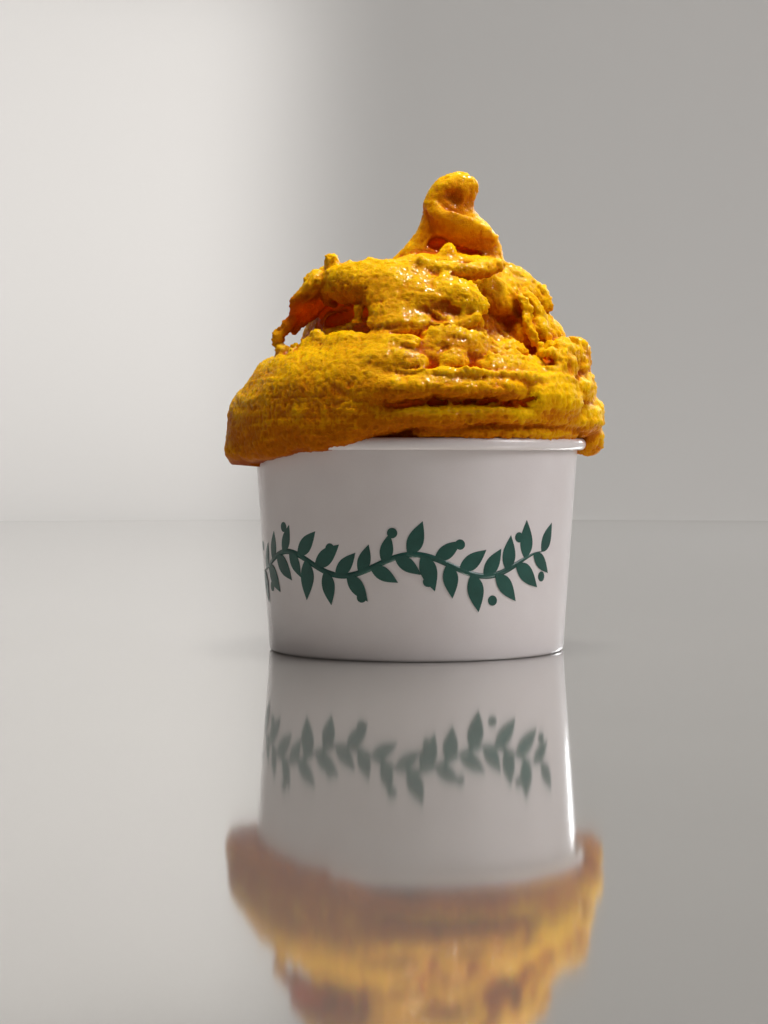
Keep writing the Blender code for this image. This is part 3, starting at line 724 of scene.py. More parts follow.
def frontScales():
    # folds right of the middle, each one standing out in front of the fold above it
    made = [
        ledge([(1.2, 81.4, 39.4), (4.0, 83.6, 40.4), (6.5, 83.7, 41.0), (10.0, 83.6, 41.4), (12.2, 83.4, 41.6),
               (14.4, 82.8, 41.6), (15.5, 81.6, 41.6), (17.7, 79.8, 41.6), (19.2, 77.6, 41.4)], 3.6, 2.4, seed=10),
        ledge([(-8, 81.6, 38.2), (-3.6, 81.0, 39.6), (-1.2, 80.6, 40.6), (1.5, 80.2, 41.2), (4.3, 79.8, 41.8),
               (6.2, 78.4, 42.2), (9.0, 77.4, 42.4)], 2.5, seed=11),
        ledge([(-9.5, 79.4, 39.6), (-5.3, 78.7, 41.0), (-3.6, 78.4, 41.8), (-1.8, 77.3, 42.4), (0.7, 76.1, 43.0),
               (3.6, 74.8, 43.6)], 2.1, seed=12),
        ledge([(5.8, 75.4, 43.2), (7.2, 77.2, 43.8), (9.5, 77.7, 44.0), (11.4, 77.3, 44.0), (12.4, 75.6, 43.6)], 2.4,
              2.2, ragged=0.3, seed=13, blunt=(0.25, 0.25)),
        ledge([(17.6, 76.4, 41.6), (20.2, 78.3, 42.4), (23.2, 78.3, 42.8), (24.9, 78.5, 43.0), (26.3, 77.6, 43.2),
               (29.0, 76.7, 43.6), (31.4, 76.1, 43.8), (34.4, 74.4, 44.0)], 2.6, seed=14),
        ledge([(13.6, 74.8, 43.4), (17.7, 76.3, 44.4), (19.4, 76.9, 44.8), (22.1, 76.7, 45.2), (24.3, 76.7, 45.4),
               (26.5, 76.1, 45.6), (27.9, 75.1, 45.6), (30.1, 74.6, 45.8), (31.7, 73.8, 45.8), (34, 72.4, 45.6)], 2.9,
              2.3, seed=15),
        ledge([(10.4, 69.6, 45.8), (12.2, 70.8, 46.4), (13.9, 71.6, 46.8), (16.1, 71.7, 47.2), (18.2, 72.0, 47.4),
               (20.5, 72.0, 47.5), (21.9, 71.5, 47.5), (23.7, 70.8, 47.4), (26.0, 70.8, 47.2), (29, 70.4, 46.8)], 3.0,
              2.4, lean=4, seed=17),
        # level ridges on the left, under the hollow
        ledge([(-23, 82.0, 36.4), (-19.1, 83.2, 37.4), (-13.3, 82.6, 38.2), (-6, 81.8, 38.6)], 1.9, 1.8, lean=26,
              ragged=0.3, seed=19),
        ledge([(-25, 79.2, 37.6), (-21.6, 80.4, 38.6), (-16.4, 80.5, 39.6), (-13.3, 78.6, 40.4), (-7.1, 78, 40.8)], 1.9,
              1.8, lean=28, ragged=0.3, seed=20),
    ]
    draws = softNoise(np.stack(np.meshgrid(np.arange(22) * 3.77 + 0.5, np.arange(7) * 5.13 + 0.5, [9.5],
                                           indexing="ij"), -1).reshape(-1, 3), 90).reshape(22, 7)
    for k, draw in enumerate(draws):
        turn, height = 57 + 18 * draw[0], 75.5 + 7 * draw[1]
        radius = np.interp(height, [66, 70, 76, 82, 86], [45.6, 45.4, 45.0, 42.4, 39.6]) + 0.3 * draw[2]
        span, drop = 5 + 2.5 * draw[3], 0.9 * draw[5] - 0.7
        made.append(paddleStroke(
            [(turn - span, height - drop - 0.5, radius - 0.9), (turn, height, radius),
             (turn + span, height + drop - 0.5, radius - 0.9)], 1.3 + 0.4 * draw[6], 1.1, lean=6, lumpy=0.25, ragged=0.5,
            seed=400 + k, blunt=(0.3, 0.3)))
    return made


def upperStrokes():
    return [
        # upper dollop, whose left part leans out over the hollow, and the shoulder behind it
        paddleStroke([(-82, 92.5, 24), (-60, 94.4, 26.6), (-42, 95.4, 28.0), (-20, 94.0, 28.4), (0, 92.4, 28.8),
                      (14, 91.4, 29.4), (27, 90.6, 29.6)], [3.4, 4.4, 5.2, 7.2, 8.6, 7.6, 5.0],
                     [3.6, 4.6, 5.6, 5.8, 5.2, 4.4, 3.4], lean=[-6, -14, 4, 30, 44, 40, 30], furrowWide=2.6,
                     lumpy=0.35, blunt=(0.1, 0.12), square=2.8, seed=16),
        paddleStroke([(-96, 96.0, 24.0), (-72, 96.6, 25.6), (-50, 97.2, 25.6), (-26, 97.2, 25.6), (-4, 98.4, 25.4),
                      (8, 100.0, 25.2)], [3, 3.2, 3.2, 3.2, 2.6, 1.8], [4.4, 4.6, 4.6, 4, 3.8, 3.4],
                     lean=[14, 14, 18, 26, 30, 28], ragged=0.7, seed=18),
        # apron that runs from the dollop down into the slope, and the swell under the lip
        softRope([(-6, -23.0, 97.5), (-5.5, -28.0, 92.5), (-4.5, -32.0, 87.6), (-4, -35.2, 82.4)], [8.4, 9.2, 9.0, 8.2],
                 facing=(0.1, -1, 0.95), flat=0.42, lumpy=0.35, furrow=0.3, square=2.8, blunt=(0.1, 0.15), seed=120),
        softRope([(3.5, -30.0, 94.6), (8.6, -31.4, 91.8), (10.6, -32.2, 88.0), (10.5, -32.8, 83.0)],
                 [5.4, 6.4, 6.6, 6.6], facing=(0.25, -1, 0.5), flat=0.55, lumpy=0.2, square=2.6, seed=121),
        paddleStroke([(-12, 82.0, 33.4), (4, 81.6, 34.0), (20, 80.4, 34.4), (32, 79, 34)], 3.4, 4.0, lean=26, lumpy=0.3,
                     seed=122),
        roughLump((-3, 2, 96.4), (21, 20, 4.6), lumpy=0.7, grain=5, seed=19),
        roughLump((10, 3, 98.6), (18, 17, 4.4), lumpy=1.0, grain=5, seed=119),
        # right upper mass
        paddleStroke([(34, 93.6, 24.0), (44, 94.8, 25.4), (58, 93.4, 26.6), (74, 93.2, 26.8), (100, 92.8, 26.2)],
                     [6.0, 8.0, 9.4, 10.0, 9.6], [3.6, 4.0, 4.4, 4.8, 4.8], lean=[20, 28, 37, 42, 42], lumpy=0.35,
                     ragged=0.5, seed=20),
        paddleStroke([(50, 83.4, 31.0), (64, 83.4, 33.6), (80, 83.4, 33.4), (104, 83, 32)], [4.0, 5.4, 5.8, 5],
                     [3.6, 4.4, 4.8, 4.6], lean=[20, 26, 34, 36], lumpy=0.4, ragged=0.6, seed=21),
        # right side lumps
        paddleStroke([(34.6, 65.0, 44.2), (40, 66.2, 44.6), (48, 66.6, 44.6), (57, 66, 44), (66, 65, 42.4)],
                     [3.8, 5.0, 5.6, 5.4, 4], 4.2, lean=[0, 4, 8, 10], lumpy=0.45, ragged=0.4, blunt=(0.14, 0.2),
                     square=3, seed=22),
        paddleStroke([(54, 76.4, 39.4), (68, 76.6, 40.4), (84, 76.8, 41.2), (112, 76, 40.6)], [3.4, 4.6, 5.2, 5.0],
                     [3.8, 4.6, 4.8, 5], lean=[14, 12, 10, 10], lumpy=0.7, ragged=0.8, square=3.2, seed=23),
        paddleStroke([(54, 68.4, 42.2), (70, 68.6, 42.6), (86, 68.6, 42.4), (112, 68.4, 42.2)], [3.6, 4.6, 5.0, 5],
                     [3.6, 4.4, 4.8, 4.6], lean=8, lumpy=0.6, ragged=0.6, seed=29),
    ]


def backStrokes():
    # broad strokes round the back, each turned a little further than the one below
    made = []
    levels = [(61.4, 43.2, 5.4, 4), (69.6, 42.6, 4.6, 16), (76.8, 38.6, 4.6, 30), (84.2, 32.6, 5.0, 34), (92.4, 27.4, 5.0, 30)]
    for level, (height, radius, tall, lean) in enumerate(levels):
        shift = 9 * level
        last = 262 - 9 * level
        made.append(paddleStroke(
            [(96 + shift, height, radius), (130 + shift, height + 1.2, radius + 0.8), (165 + shift, height - 0.6, radius + 0.4),
             (200 + shift * 0.6, height + 0.9, radius + 0.6), (225 + shift * 0.3, height, radius - 0.4), (last, height, radius - 3.5)],
            [tall * 0.7, tall, tall * 1.05, tall, tall * 0.95, tall * 0.6], 4.4, lean=lean, lumpy=0.8, ragged=1.0,
            furrow=0.35, wave=1.2, seed=30 + level))
        made.append(paddleStroke(
            [(118 + shift, height + 3.6, radius - 1.2), (150 + shift, height + 4.0, radius - 0.6),
             (190 + shift * 0.6, height + 3.2, radius - 0.6), (220 + shift * 0.3, height + 3.4, radius - 2.0)],
            [1.2, 1.7, 1.5, 1.0], 4, lean=lean, ragged=1.1, wave=1.0, seed=40 + level))
    return made


def peakBody():
    return [
        roughLump((8, 0, 101.2), (16.5, 13, 4.0), lumpy=0.7, grain=4, seed=80),
        levelLoft([(100, -8, 24, 1.6, 8), (103, -4.5, 23.2, 1.6, 7.2), (106, -1.8, 22.6, 1.4, 6.2),
                   (109, -0.6, 21.4, 1.2, 5.4), (112, 0.4, 19.6, 1, 5.0), (115, 1.4, 16.4, 1, 4.8),
                   (118, 1.8, 15.0, 1, 4.8), (121, 2.8, 15.9, 1, 4.8), (123.4, 4.2, 16.2, 1, 4.4),
                   (125.2, 6.6, 15.2, 1, 3.4), (126.4, 9.0, 13.2, 1, 1.6)], lumpy=0.25, seed=81),
        softRope([(2.4, 0.5, 110.5), (0.2, 0.5, 106.6), (-3.4, 0.8, 102.8), (-7, 1, 99.5)], [2.0, 2.6, 2.8, 2.6],
                 lumpy=0.5, seed=86),
    ]


def peakFront():
    return [
        # collar that wraps the front below the pocket, and the sheet below it down to its free edge
        softRope([(3.4, 0.6, 121.4), (3.8, -2.2, 117.8), (6.0, -4.4, 114.9), (9.6, -5.2, 113.1), (13.6, -4.4, 112.5),
                  (17.4, -2.0, 111.0), (20.0, 0.2, 108.4), (21.6, 1.0, 105)], [1.7, 1.9, 1.9, 1.8, 1.6, 1.6, 1.7, 1.6],
                 facing=[(-0.8, -0.6, 0.1), (-0.3, -1, 0.2), (0.1, -1, 0.3), (0.5, -0.9, 0.3)], flat=0.7, lumpy=0.15,
                 blunt=(0.12, 0.05), seed=83),
        softRope([(3.6, -2.4, 113.8), (7.4, -4.6, 112.2), (12.0, -5.4, 110.6), (16.8, -4.2, 108.6), (20.6, -1.6, 106.2)],
                 [2.6, 3.6, 4.0, 3.6, 2.8], facing=[(-0.4, -1, -0.2), (0, -1, -0.25), (0.4, -1, -0.1)], flat=0.34,
                 lumpy=0.15, ragged=0.25, blunt=(0.12, 0.08), square=2.8, seed=84),
        # nub under the sheet
        softRope([(7.4, -9.0, 101.4), (8.2, -9.2, 104.0), (9.2, -8.6, 107.0)], [3.4, 2.5, 1.5], lumpy=0.25,
                 blunt=(0.05, 0.3), seed=85),
    ]


def freeTongues():
    made = [
        # ribbon of the shoulder, with its fold at the right
        softRope([(-9, -24.2, 100.2), (-2, -26.8, 99.6), (5, -28.2, 98.6), (12, -27.8, 97.9), (18, -25.2, 98.8),
                  (22.8, -21.2, 101.0)], [1.0, 1.7, 2.1, 2.3, 2.1, 1.4],
                 facing=[(0.1, -1, 0.3), (0.3, -1, 0.25), (0.6, -0.9, 0.3)], flat=1.0,
                 lumpy=0.3, ragged=0.3, square=2.1, blunt=(0.3, 0.15), seed=26),
        # the slope that carries the upper mass down into the bands
        roughLump((-3.5, -34.6, 84.0), (8.5, 4.4, 4.4), lumpy=0.35, grain=3, seed=136),
        # lip: a fold that runs out to a nose at the right, then a low ridge that turns back under it
        softRope([(0.5, -31.4, 93.4), (6.0, -32.8, 92.6), (11.0, -33.4, 91.2), (15.0, -33.0, 89.4), (17.8, -31.4, 87.6)],
                 [2.2, 3.0, 3.2, 2.9, 1.8], facing=[(0.1, -1, 0.3), (0.3, -1, 0.25), (0.5, -0.9, 0.1)], flat=0.7,
                 lumpy=0.2, ragged=0.4, square=2.6, blunt=(0.3, 0.2), seed=17),
        softRope([(15.6, -33.4, 87.0), (13.6, -35.0, 84.9), (10.6, -36.2, 83.9), (7.0, -36.6, 83.8), (2.6, -36.6, 84.4)],
                 [1.9, 1.7, 1.5, 1.4, 1.0], lumpy=0.2, ragged=0.3, blunt=(0.2, 0.3), seed=117),
        # folds that hang down the right upper side
        softRope([(21.5, -13.5, 100.2), (26.0, -12.6, 97.4), (29.6, -12.2, 94.2), (32.4, -11.8, 91.2), (32.4, -12.4, 88.6)],
                 [2.4, 3.4, 4.0, 3.8, 2.6], facing=(0.7, -0.7, 0.3), flat=0.6, lumpy=0.3, ragged=0.2, seed=130),
        softRope([(26.2, -17.0, 94.2), (29.2, -17.0, 90.4), (31.0, -17.4, 86.8), (32.2, -18.0, 83.6), (32.0, -20.0, 80.6)],
                 [1.8, 2.2, 2.4, 2.4, 2.0], facing=(0.75, -0.65, 0.2), flat=0.85, lumpy=0.12, ragged=0.2, square=2.0,
                 seed=131),
        softRope([(25.8, -21.0, 93.0), (27.8, -21.4, 88.8), (28.2, -22.6, 85.4), (29.8, -23.0, 82.0), (30.4, -24.0, 79.2)],
                 [1.2, 1.6, 1.7, 1.8, 1.4], facing=(0.6, -0.8, 0.2), flat=0.85, lumpy=0.12, ragged=0.2, square=2.0,
                 seed=132),
        # thin teeth at the top of the right side, and crumbs caught between the folds
        softRope([(30.6, -28.2, 75.6), (31.0, -28.4, 77.8), (31.4, -28.2, 80.0)], [1.3, 0.9, 0.5], lumpy=0.3, seed=56),
        softRope([(34.0, -25.4, 75.6), (34.2, -25.6, 77.6), (34.0, -25.4, 79.4)], [1.2, 0.9, 0.6], lumpy=0.3, seed=57),
        roughLump((18.8, -40.2, 73.4), (1.5, 1.1, 0.9), lumpy=0.4, grain=1.2, seed=58, rings=12, around=16),
        roughLump((24.6, -37.6, 73.8), (1.2, 1.1, 1.1), lumpy=0.4, grain=1.2, seed=59, rings=12, around=16),
        # wing on the left: the strand seen edge on, then the sheet that turns into the hollow
        softRope([(-24.0, -20, 97.0), (-28.4, -18.8, 93.8), (-31.4, -17.8, 90.4), (-32.4, -17.4, 87.2),
                  (-34.2, -17.2, 84.4), (-36.2, -17, 82.2), (-36.2, -17, 80.2), (-34.8, -17.4, 78.6)],
                 [3.0, 2.2, 1.7, 1.5, 1.5, 1.8, 1.5, 1.3], flat=0.85, lumpy=0.3, ragged=0.3,
                 facing=[(0.35, -0.9, 0.3), (0.5, -0.8, 0.25), (0.6, -0.7, 0.3), (0.5, -0.8, 0)],
                 blunt=(0.05, 0.12), seed=50),
        softRope([(-20.0, -18.4, 95.4), (-25.4, -17.4, 91.8), (-28.8, -16.4, 88.6), (-31.4, -15.8, 86.0),
                  (-33.8, -16.0, 83.2)], [4.0, 4.4, 3.8, 2.8, 1.6], facing=(0.65, -0.65, -0.35), flat=0.3, lumpy=0.2,
                 ragged=0.2, square=3, blunt=(0.1, 0.15), seed=51),
        roughLump((-35.2, -17.8, 77.4), (2.2, 2.4, 2.8), lumpy=0.4, grain=1.5, seed=134),
        roughLump((-31.6, -19.6, 78.2), (2.0, 2.2, 2.0), lumpy=0.4, grain=1.4, seed=135),
        roughLump((-26.8, -16, 96.6), (2.9, 3.0, 2.7), lumpy=0.4, grain=2, seed=52),
        roughLump((-39.2, -13, 72.4), (4.0, 5.0, 3.8), lumpy=0.3, grain=2.5, seed=133),
        # upright spike, finger, the shelf below it and a pillar by the hollow
        softRope([(-21.8, -19, 96.0), (-22.2, -19.4, 100.0), (-22.4, -19.6, 103.6)], [2.1, 2.0, 2.0], lumpy=0.12,
                 blunt=(0.05, 0.22), seed=53),
        softRope([(-27.2, -23.4, 80.8), (-26.0, -25.6, 82.0), (-24.0, -27.6, 81.0), (-22.0, -29.4, 79.0)],
                 [1.5, 1.7, 1.6, 1.2], lumpy=0.2, seed=54),
        softRope([(-30.0, -21.6, 79.2), (-27.6, -24.6, 79.8), (-24.8, -27.4, 78.8), (-22.4, -30, 76.6)],
                 [1.6, 1.9, 1.8, 1.2], lumpy=0.3, seed=64),
        softRope([(-14.6, -29.6, 89.4), (-15.0, -30.4, 87.0), (-15.4, -30.6, 84.8)], [1.3, 1.1, 1.5], seed=55),
    ]
    draws = softNoise(np.stack(np.meshgrid(np.arange(30) * 7.31 + 0.5, np.arange(4) * 3.7 + 0.5, [2.5],
                                           indexing="ij"), -1).reshape(-1, 3), 60).reshape(30, 4)
    for k, draw in enumerate(draws):
        spot = (-30.6 + 5.0 * draw[0], -22.5 + 3.6 * draw[1] - 0.5 * draw[0], 75.6 + 4.0 * draw[2])
        made.append(roughLump(spot, 1.5 + 0.6 * draw[1:4], lumpy=0.4, grain=1.2, seed=70 + k, rings=12, around=16))
    return made


def hollowShapes():
    return [
        # under the wing on the left, through to the outside
        roughLump((-21.4, -27.0, 86.4), (6.6, 12.0, 2.9), lumpy=0.4, grain=4, seed=200, tilt=16),
        roughLump((-28.0, -23.0, 84.8), (4.6, 6.4, 2.8), lumpy=0.4, grain=4, seed=212, tilt=20),
        softRope([(-26, -26, 85.6), (-30.4, -19, 82.4), (-32.0, -10, 82.2), (-33.8, 4, 82.6), (-37, 26, 83.2)],
                 [2.8, 2.5, 2.1, 2.3, 2.6], facing=(0, 0, 1), flat=0.9, lumpy=0.3, blunt=(0.05, 0.05), seed=201),
        roughLump((-13.4, -32.0, 87.6), (1.9, 6.0, 1.7), lumpy=0.5, grain=1.5, seed=202),
        # crevice between the front bands, and a shallow one below them
        paddleStroke([(-15, 63.6, 49), (-6, 63.8, 48.8), (3, 64.6, 48.8), (11, 65.2, 48.8), (18, 64.6, 49),
                      (26, 64.2, 49), (33, 64.8, 49), (39, 66.4, 49)], [0.5, 1.0, 1.1, 1.0, 0.9, 1.0, 0.8, 0.4], 3.7,
                     lumpy=0.15, ragged=0.35, furrow=0.1, blunt=(0.2, 0.2), seed=203),
        paddleStroke([(4, 58.3, 48.6), (20, 59.0, 48.2), (34, 58.6, 48), (46, 58.0, 48)], [0.3, 0.6, 0.6, 0.3], 3.4,
                     lumpy=0.2, ragged=0.2, furrow=0.1, blunt=(0.2, 0.2), seed=204),
        # recess under the shoulder's ribbon
        softRope(onMound(*np.array([(14, 97.4, 33.4), (24, 97.0, 32.6), (34, 97.0, 32.0), (43, 97.6, 31.6)]).T),
                 [0.8, 1.5, 1.8, 1.1], facing=(0.3, -1, 0.3), flat=1.8, lumpy=0.4, seed=205),
        # shallow scoop inside the lip
        softRope([(-2, -41.2, 90.4), (3, -39.6, 89.6), (8, -38.2, 88.4), (12.0, -36.4, 87.4)], [2.0, 2.6, 2.7, 1.7],
                 lumpy=0.1, flat=1.3, seed=206),
        # torn cave with two pits
        roughLump(onMound(36, 84.6, 37.4), (5.4, 5.4, 4.6), lumpy=0.5, grain=2.4, seed=207),
        roughLump(onMound(46, 85.6, 38.4), (3.8, 5.0, 5.0), lumpy=0.5, grain=2.4, seed=208),
        roughLump(onMound(28.4, 87.0, 35.0), (1.2, 7.0, 1.3), lumpy=0.3, grain=1.2, seed=213),
        roughLump(onMound(32.6, 86.8, 35.0), (1.1, 7.0, 1.4), lumpy=0.3, grain=1.2, seed=214),
        # pocket in the peak, and the dark recesses under its sheet
        softRope([(13.6, -9.6, 122.6), (11.4, -8.0, 120.4), (9.4, -6.4, 118.4), (8.2, -5.6, 116.8)], [3.0, 4.2, 4.0, 3.0],
                 lumpy=0.1, seed=209),
        roughLump((5.4, -6.4, 107.2), (2.9, 5.0, 2.3), lumpy=0.35, grain=2.5, seed=210),
        roughLump((13.8, -7.2, 105.4), (4.6, 5.2, 1.5), lumpy=0.3, grain=2.5, seed=211, tilt=-14),
    ]


def asVoxels(thing, size, smoothing=0):
    remesh = thing.modifiers.new("remesh", "REMESH")
    remesh.mode = "VOXEL"
    remesh.voxel_size = size * mm
    remesh.use_smooth_shade = True
    if smoothing:
        smooth = thing.modifiers.new("smooth", "SMOOTH")
        smooth.iterations = smoothing
    return madePlain(thing)


def nearness(points, centre, radii):
    away = (points - np.array(centre)) / np.array(radii)
    return np.exp(-(away * away).sum(1))


def evenedOut(mesh, steps, share=1.0, rows=None):
    # the points, or other rows of numbers, after each has moved towards its neighbours' middle by its share
    points = pointsOf(mesh) if rows is None else rows
    ends = np.empty(len(mesh.edges) * 2, np.int32)
    mesh.edges.foreach_get("vertices", ends)
    ends = ends.reshape(-1, 2)
    both = np.concatenate([ends, ends[:, ::-1]])
    degree = np.bincount(both[:, 0], minlength=len(points))
    for _ in range(steps):
        sums = [np.bincount(both[:, 0], points[both[:, 1], axis], len(points)) / degree
                for axis in range(points.shape[1])]
        points = points + share * (np.stack(sums, 1) - points)
    return points


def billow(points, seed, octaves=2, gain=0.5):
    # round heads with sharp creases between them, about -1 to 1
    total = np.zeros(len(points))
    for octave in range(octaves):
        total += gain ** octave * (1 - 4 * np.abs(softNoise(points * 1.9 ** octave + 5.3 * octave, seed + octave)))
    return -total


def addRelief(mesh):
    # furrows from the paddle, lumps, ice grain, and torn crumbly patches
    p = pointsOf(mesh)
    turn = np.degrees(np.arctan2(p[:, 0], -p[:, 1]))
    broad = rise(-2, -24, turn) * rise(78, 69, p[:, 2]) * rise(-175, -150, turn) * rise(53, 58, p[:, 2])
    slope = rise(-52, -40, turn) * rise(-2, -14, turn) * rise(73, 76, p[:, 2]) * rise(84.5, 81.5, p[:, 2])
    dollop = rise(-25, -17, turn) * rise(6, -6, turn) * rise(84, 88, p[:, 2]) * rise(101, 97.5, p[:, 2])
    broad = np.maximum(broad, np.maximum(0.45 * slope, 0.9 * dollop))
    setPoints(mesh, evenedOut(mesh, heap["lobeEvening"], (0.9 * broad)[:, None]))
    p, n = pointsOf(mesh), normalsOf(mesh)
    turn = np.degrees(np.arctan2(p[:, 0], -p[:, 1]))
    radius = np.hypot(p[:, 0], p[:, 1])
    arc = np.radians(turn) * 42
    level = 0 * arc
    shown = rise(50, 52, p[:, 2])
    warp = 1.6 * roughNoise(np.stack([arc / 16, p[:, 2] / 9, level], 1), 301, 2)
    furrow = roughNoise(np.stack([arc / 13, (p[:, 2] + warp) / 1.25, radius / 7], 1), 302, 3, 0.55)
    steep = np.clip(1.2 - np.abs(n[:, 2]), 0, 1)
    lump = roughNoise(p / 3.4, 303, 3, 0.55)
    grain = -billow(p / 1.3, 304, 3, 0.7)
    lobe = rise(-12, -30, turn) * rise(66, 60, p[:, 2]) * rise(-175, -150, turn)
    face = nearness(p, (10, -5, 112), (9, 8, 10))
    torn = nearness(p, onMound(66, 76, 44), (12, 12, 9)) + nearness(p, onMound(-50, 77, 38), (7, 7, 5))
    torn = np.clip(torn, 0, 1)
    crumb = -billow(p / 2.3, 306, 2, 0.6)
    proud = np.clip(((p - evenedOut(mesh, 12)) * n).sum(1) / 0.35, 0, 1)
    ragged = -billow(p / 1.2, 308, 2, 0.7)
    crisp = heap["crisp"] * np.clip(((p - evenedOut(mesh, 7)) * n).sum(1), -0.5, 0.6) * (1 - 0.9 * broad) * (1 - 0.8 * face)
    flute = 1 - 2 * np.abs(roughNoise(np.stack([arc / 3.4 + p[:, 2] / 11, p[:, 2] / 10, level], 1), 307, 2, 0.5))
    fluted = rise(34, 40, turn) * rise(84, 70, turn) * rise(77, 81, p[:, 2]) * rise(101, 97, p[:, 2])
    move = heap["furrow"] * furrow * steep * (1 - 0.3 * lobe) * (1 - 0.8 * rise(103, 108, p[:, 2]))
    move += heap["lump"] * lump * (1 - 0.6 * face)
    move += heap["grain"] * grain * (1 - 0.6 * face) + heap["ragged"] * ragged * proud * (1 - 0.7 * face)
    move += heap["crumb"] * crumb * torn + heap["flute"] * flute * fluted + crisp
    setPoints(mesh, p + n * (move * shown)[:, None])


def dropSpecks(shape, fewest=200):
    # shells of a few points, left over where two hollows nearly meet, go
    met, specks = set(), []
    for start in shape.verts:
        if start in met:
            continue
        shell, ahead = {start}, [start]
        while ahead:
            for edge in ahead.pop().link_edges:
                for corner in edge.verts:
                    if corner not in shell:
                        shell.add(corner)
                        ahead.append(corner)
        met |= shell
        if len(shell) < fewest:
            specks += shell
    bmesh.ops.delete(shape, geom=specks, context="VERTS")


def plugInCup(thing):
    # below the rim the heap is a plain plug that fills the cup down to its base
    shape = bmesh.new()
    shape.from_mesh(thing.data)
    everything = shape.verts[:] + shape.edges[:] + shape.faces[:]
    bmesh.ops.bisect_plane(shape, geom=everything, plane_co=(0, 0, heap["plugTop"] * mm), plane_no=(0, 0, -1),
                           clear_outer=True)
    dropSpecks(shape)
    clearance = cup["paper"] + 2 * cup["gap"]
    rim = [edge for edge in shape.edges if edge.is_boundary]
    for height in np.linspace(heap["plugTop"] - 0.6, heapLow[2], 5):
        grown = bmesh.ops.extrude_edge_only(shape, edges=rim)["geom"]
        rim = [item for item in grown if isinstance(item, bmesh.types.BMEdge)]
        for corner in [item for item in grown if isinstance(item, bmesh.types.BMVert)]:
            reach = (wallRadius(height) - clearance) * mm / math.hypot(corner.co.x, corner.co.y)
            corner.co = (corner.co.x * reach, corner.co.y * reach, height * mm)
    bmesh.ops.holes_fill(shape, edges=rim, sides=0)
    bmesh.ops.triangulate(shape, faces=[face for face in shape.faces if len(face.verts) > 4])
    bmesh.ops.recalc_face_normals(shape, faces=shape.faces)
    shape.to_mesh(thing.data)
    shape.free()


def fitToFrame(mesh):
    # the shown box meets the CAD node's box on every side
    points = pointsOf(mesh)
    above = points[:, 2] > rimTop
    for axis in (0, 1):
        low, high = points[:, axis].min(), points[:, axis].max()
        ratio = np.where(points[:, axis] < 0, heapLow[axis] / low, heapHigh[axis] / high)
        points[:, axis] *= 1 + (ratio - 1) * rise(rimTop - 8, rimTop, points[:, 2])
    scale = (heapHigh[2] - rimTop) / (points[:, 2].max() - rimTop)
    points[above, 2] = rimTop + (points[above, 2] - rimTop) * scale
    for axis in (0, 1):
        points[:, axis] = np.clip(points[:, axis], heapLow[axis], heapHigh[axis])
    setPoints(mesh, points)


def sunkenness(mesh, steps=14, depth=0.45):
    # 0 on the ridges and 1 down in the creases
    return np.clip(0.5 + 0.5 * ((evenedOut(mesh, steps) - pointsOf(mesh)) * normalsOf(mesh)).sum(1) / depth, 0, 1)


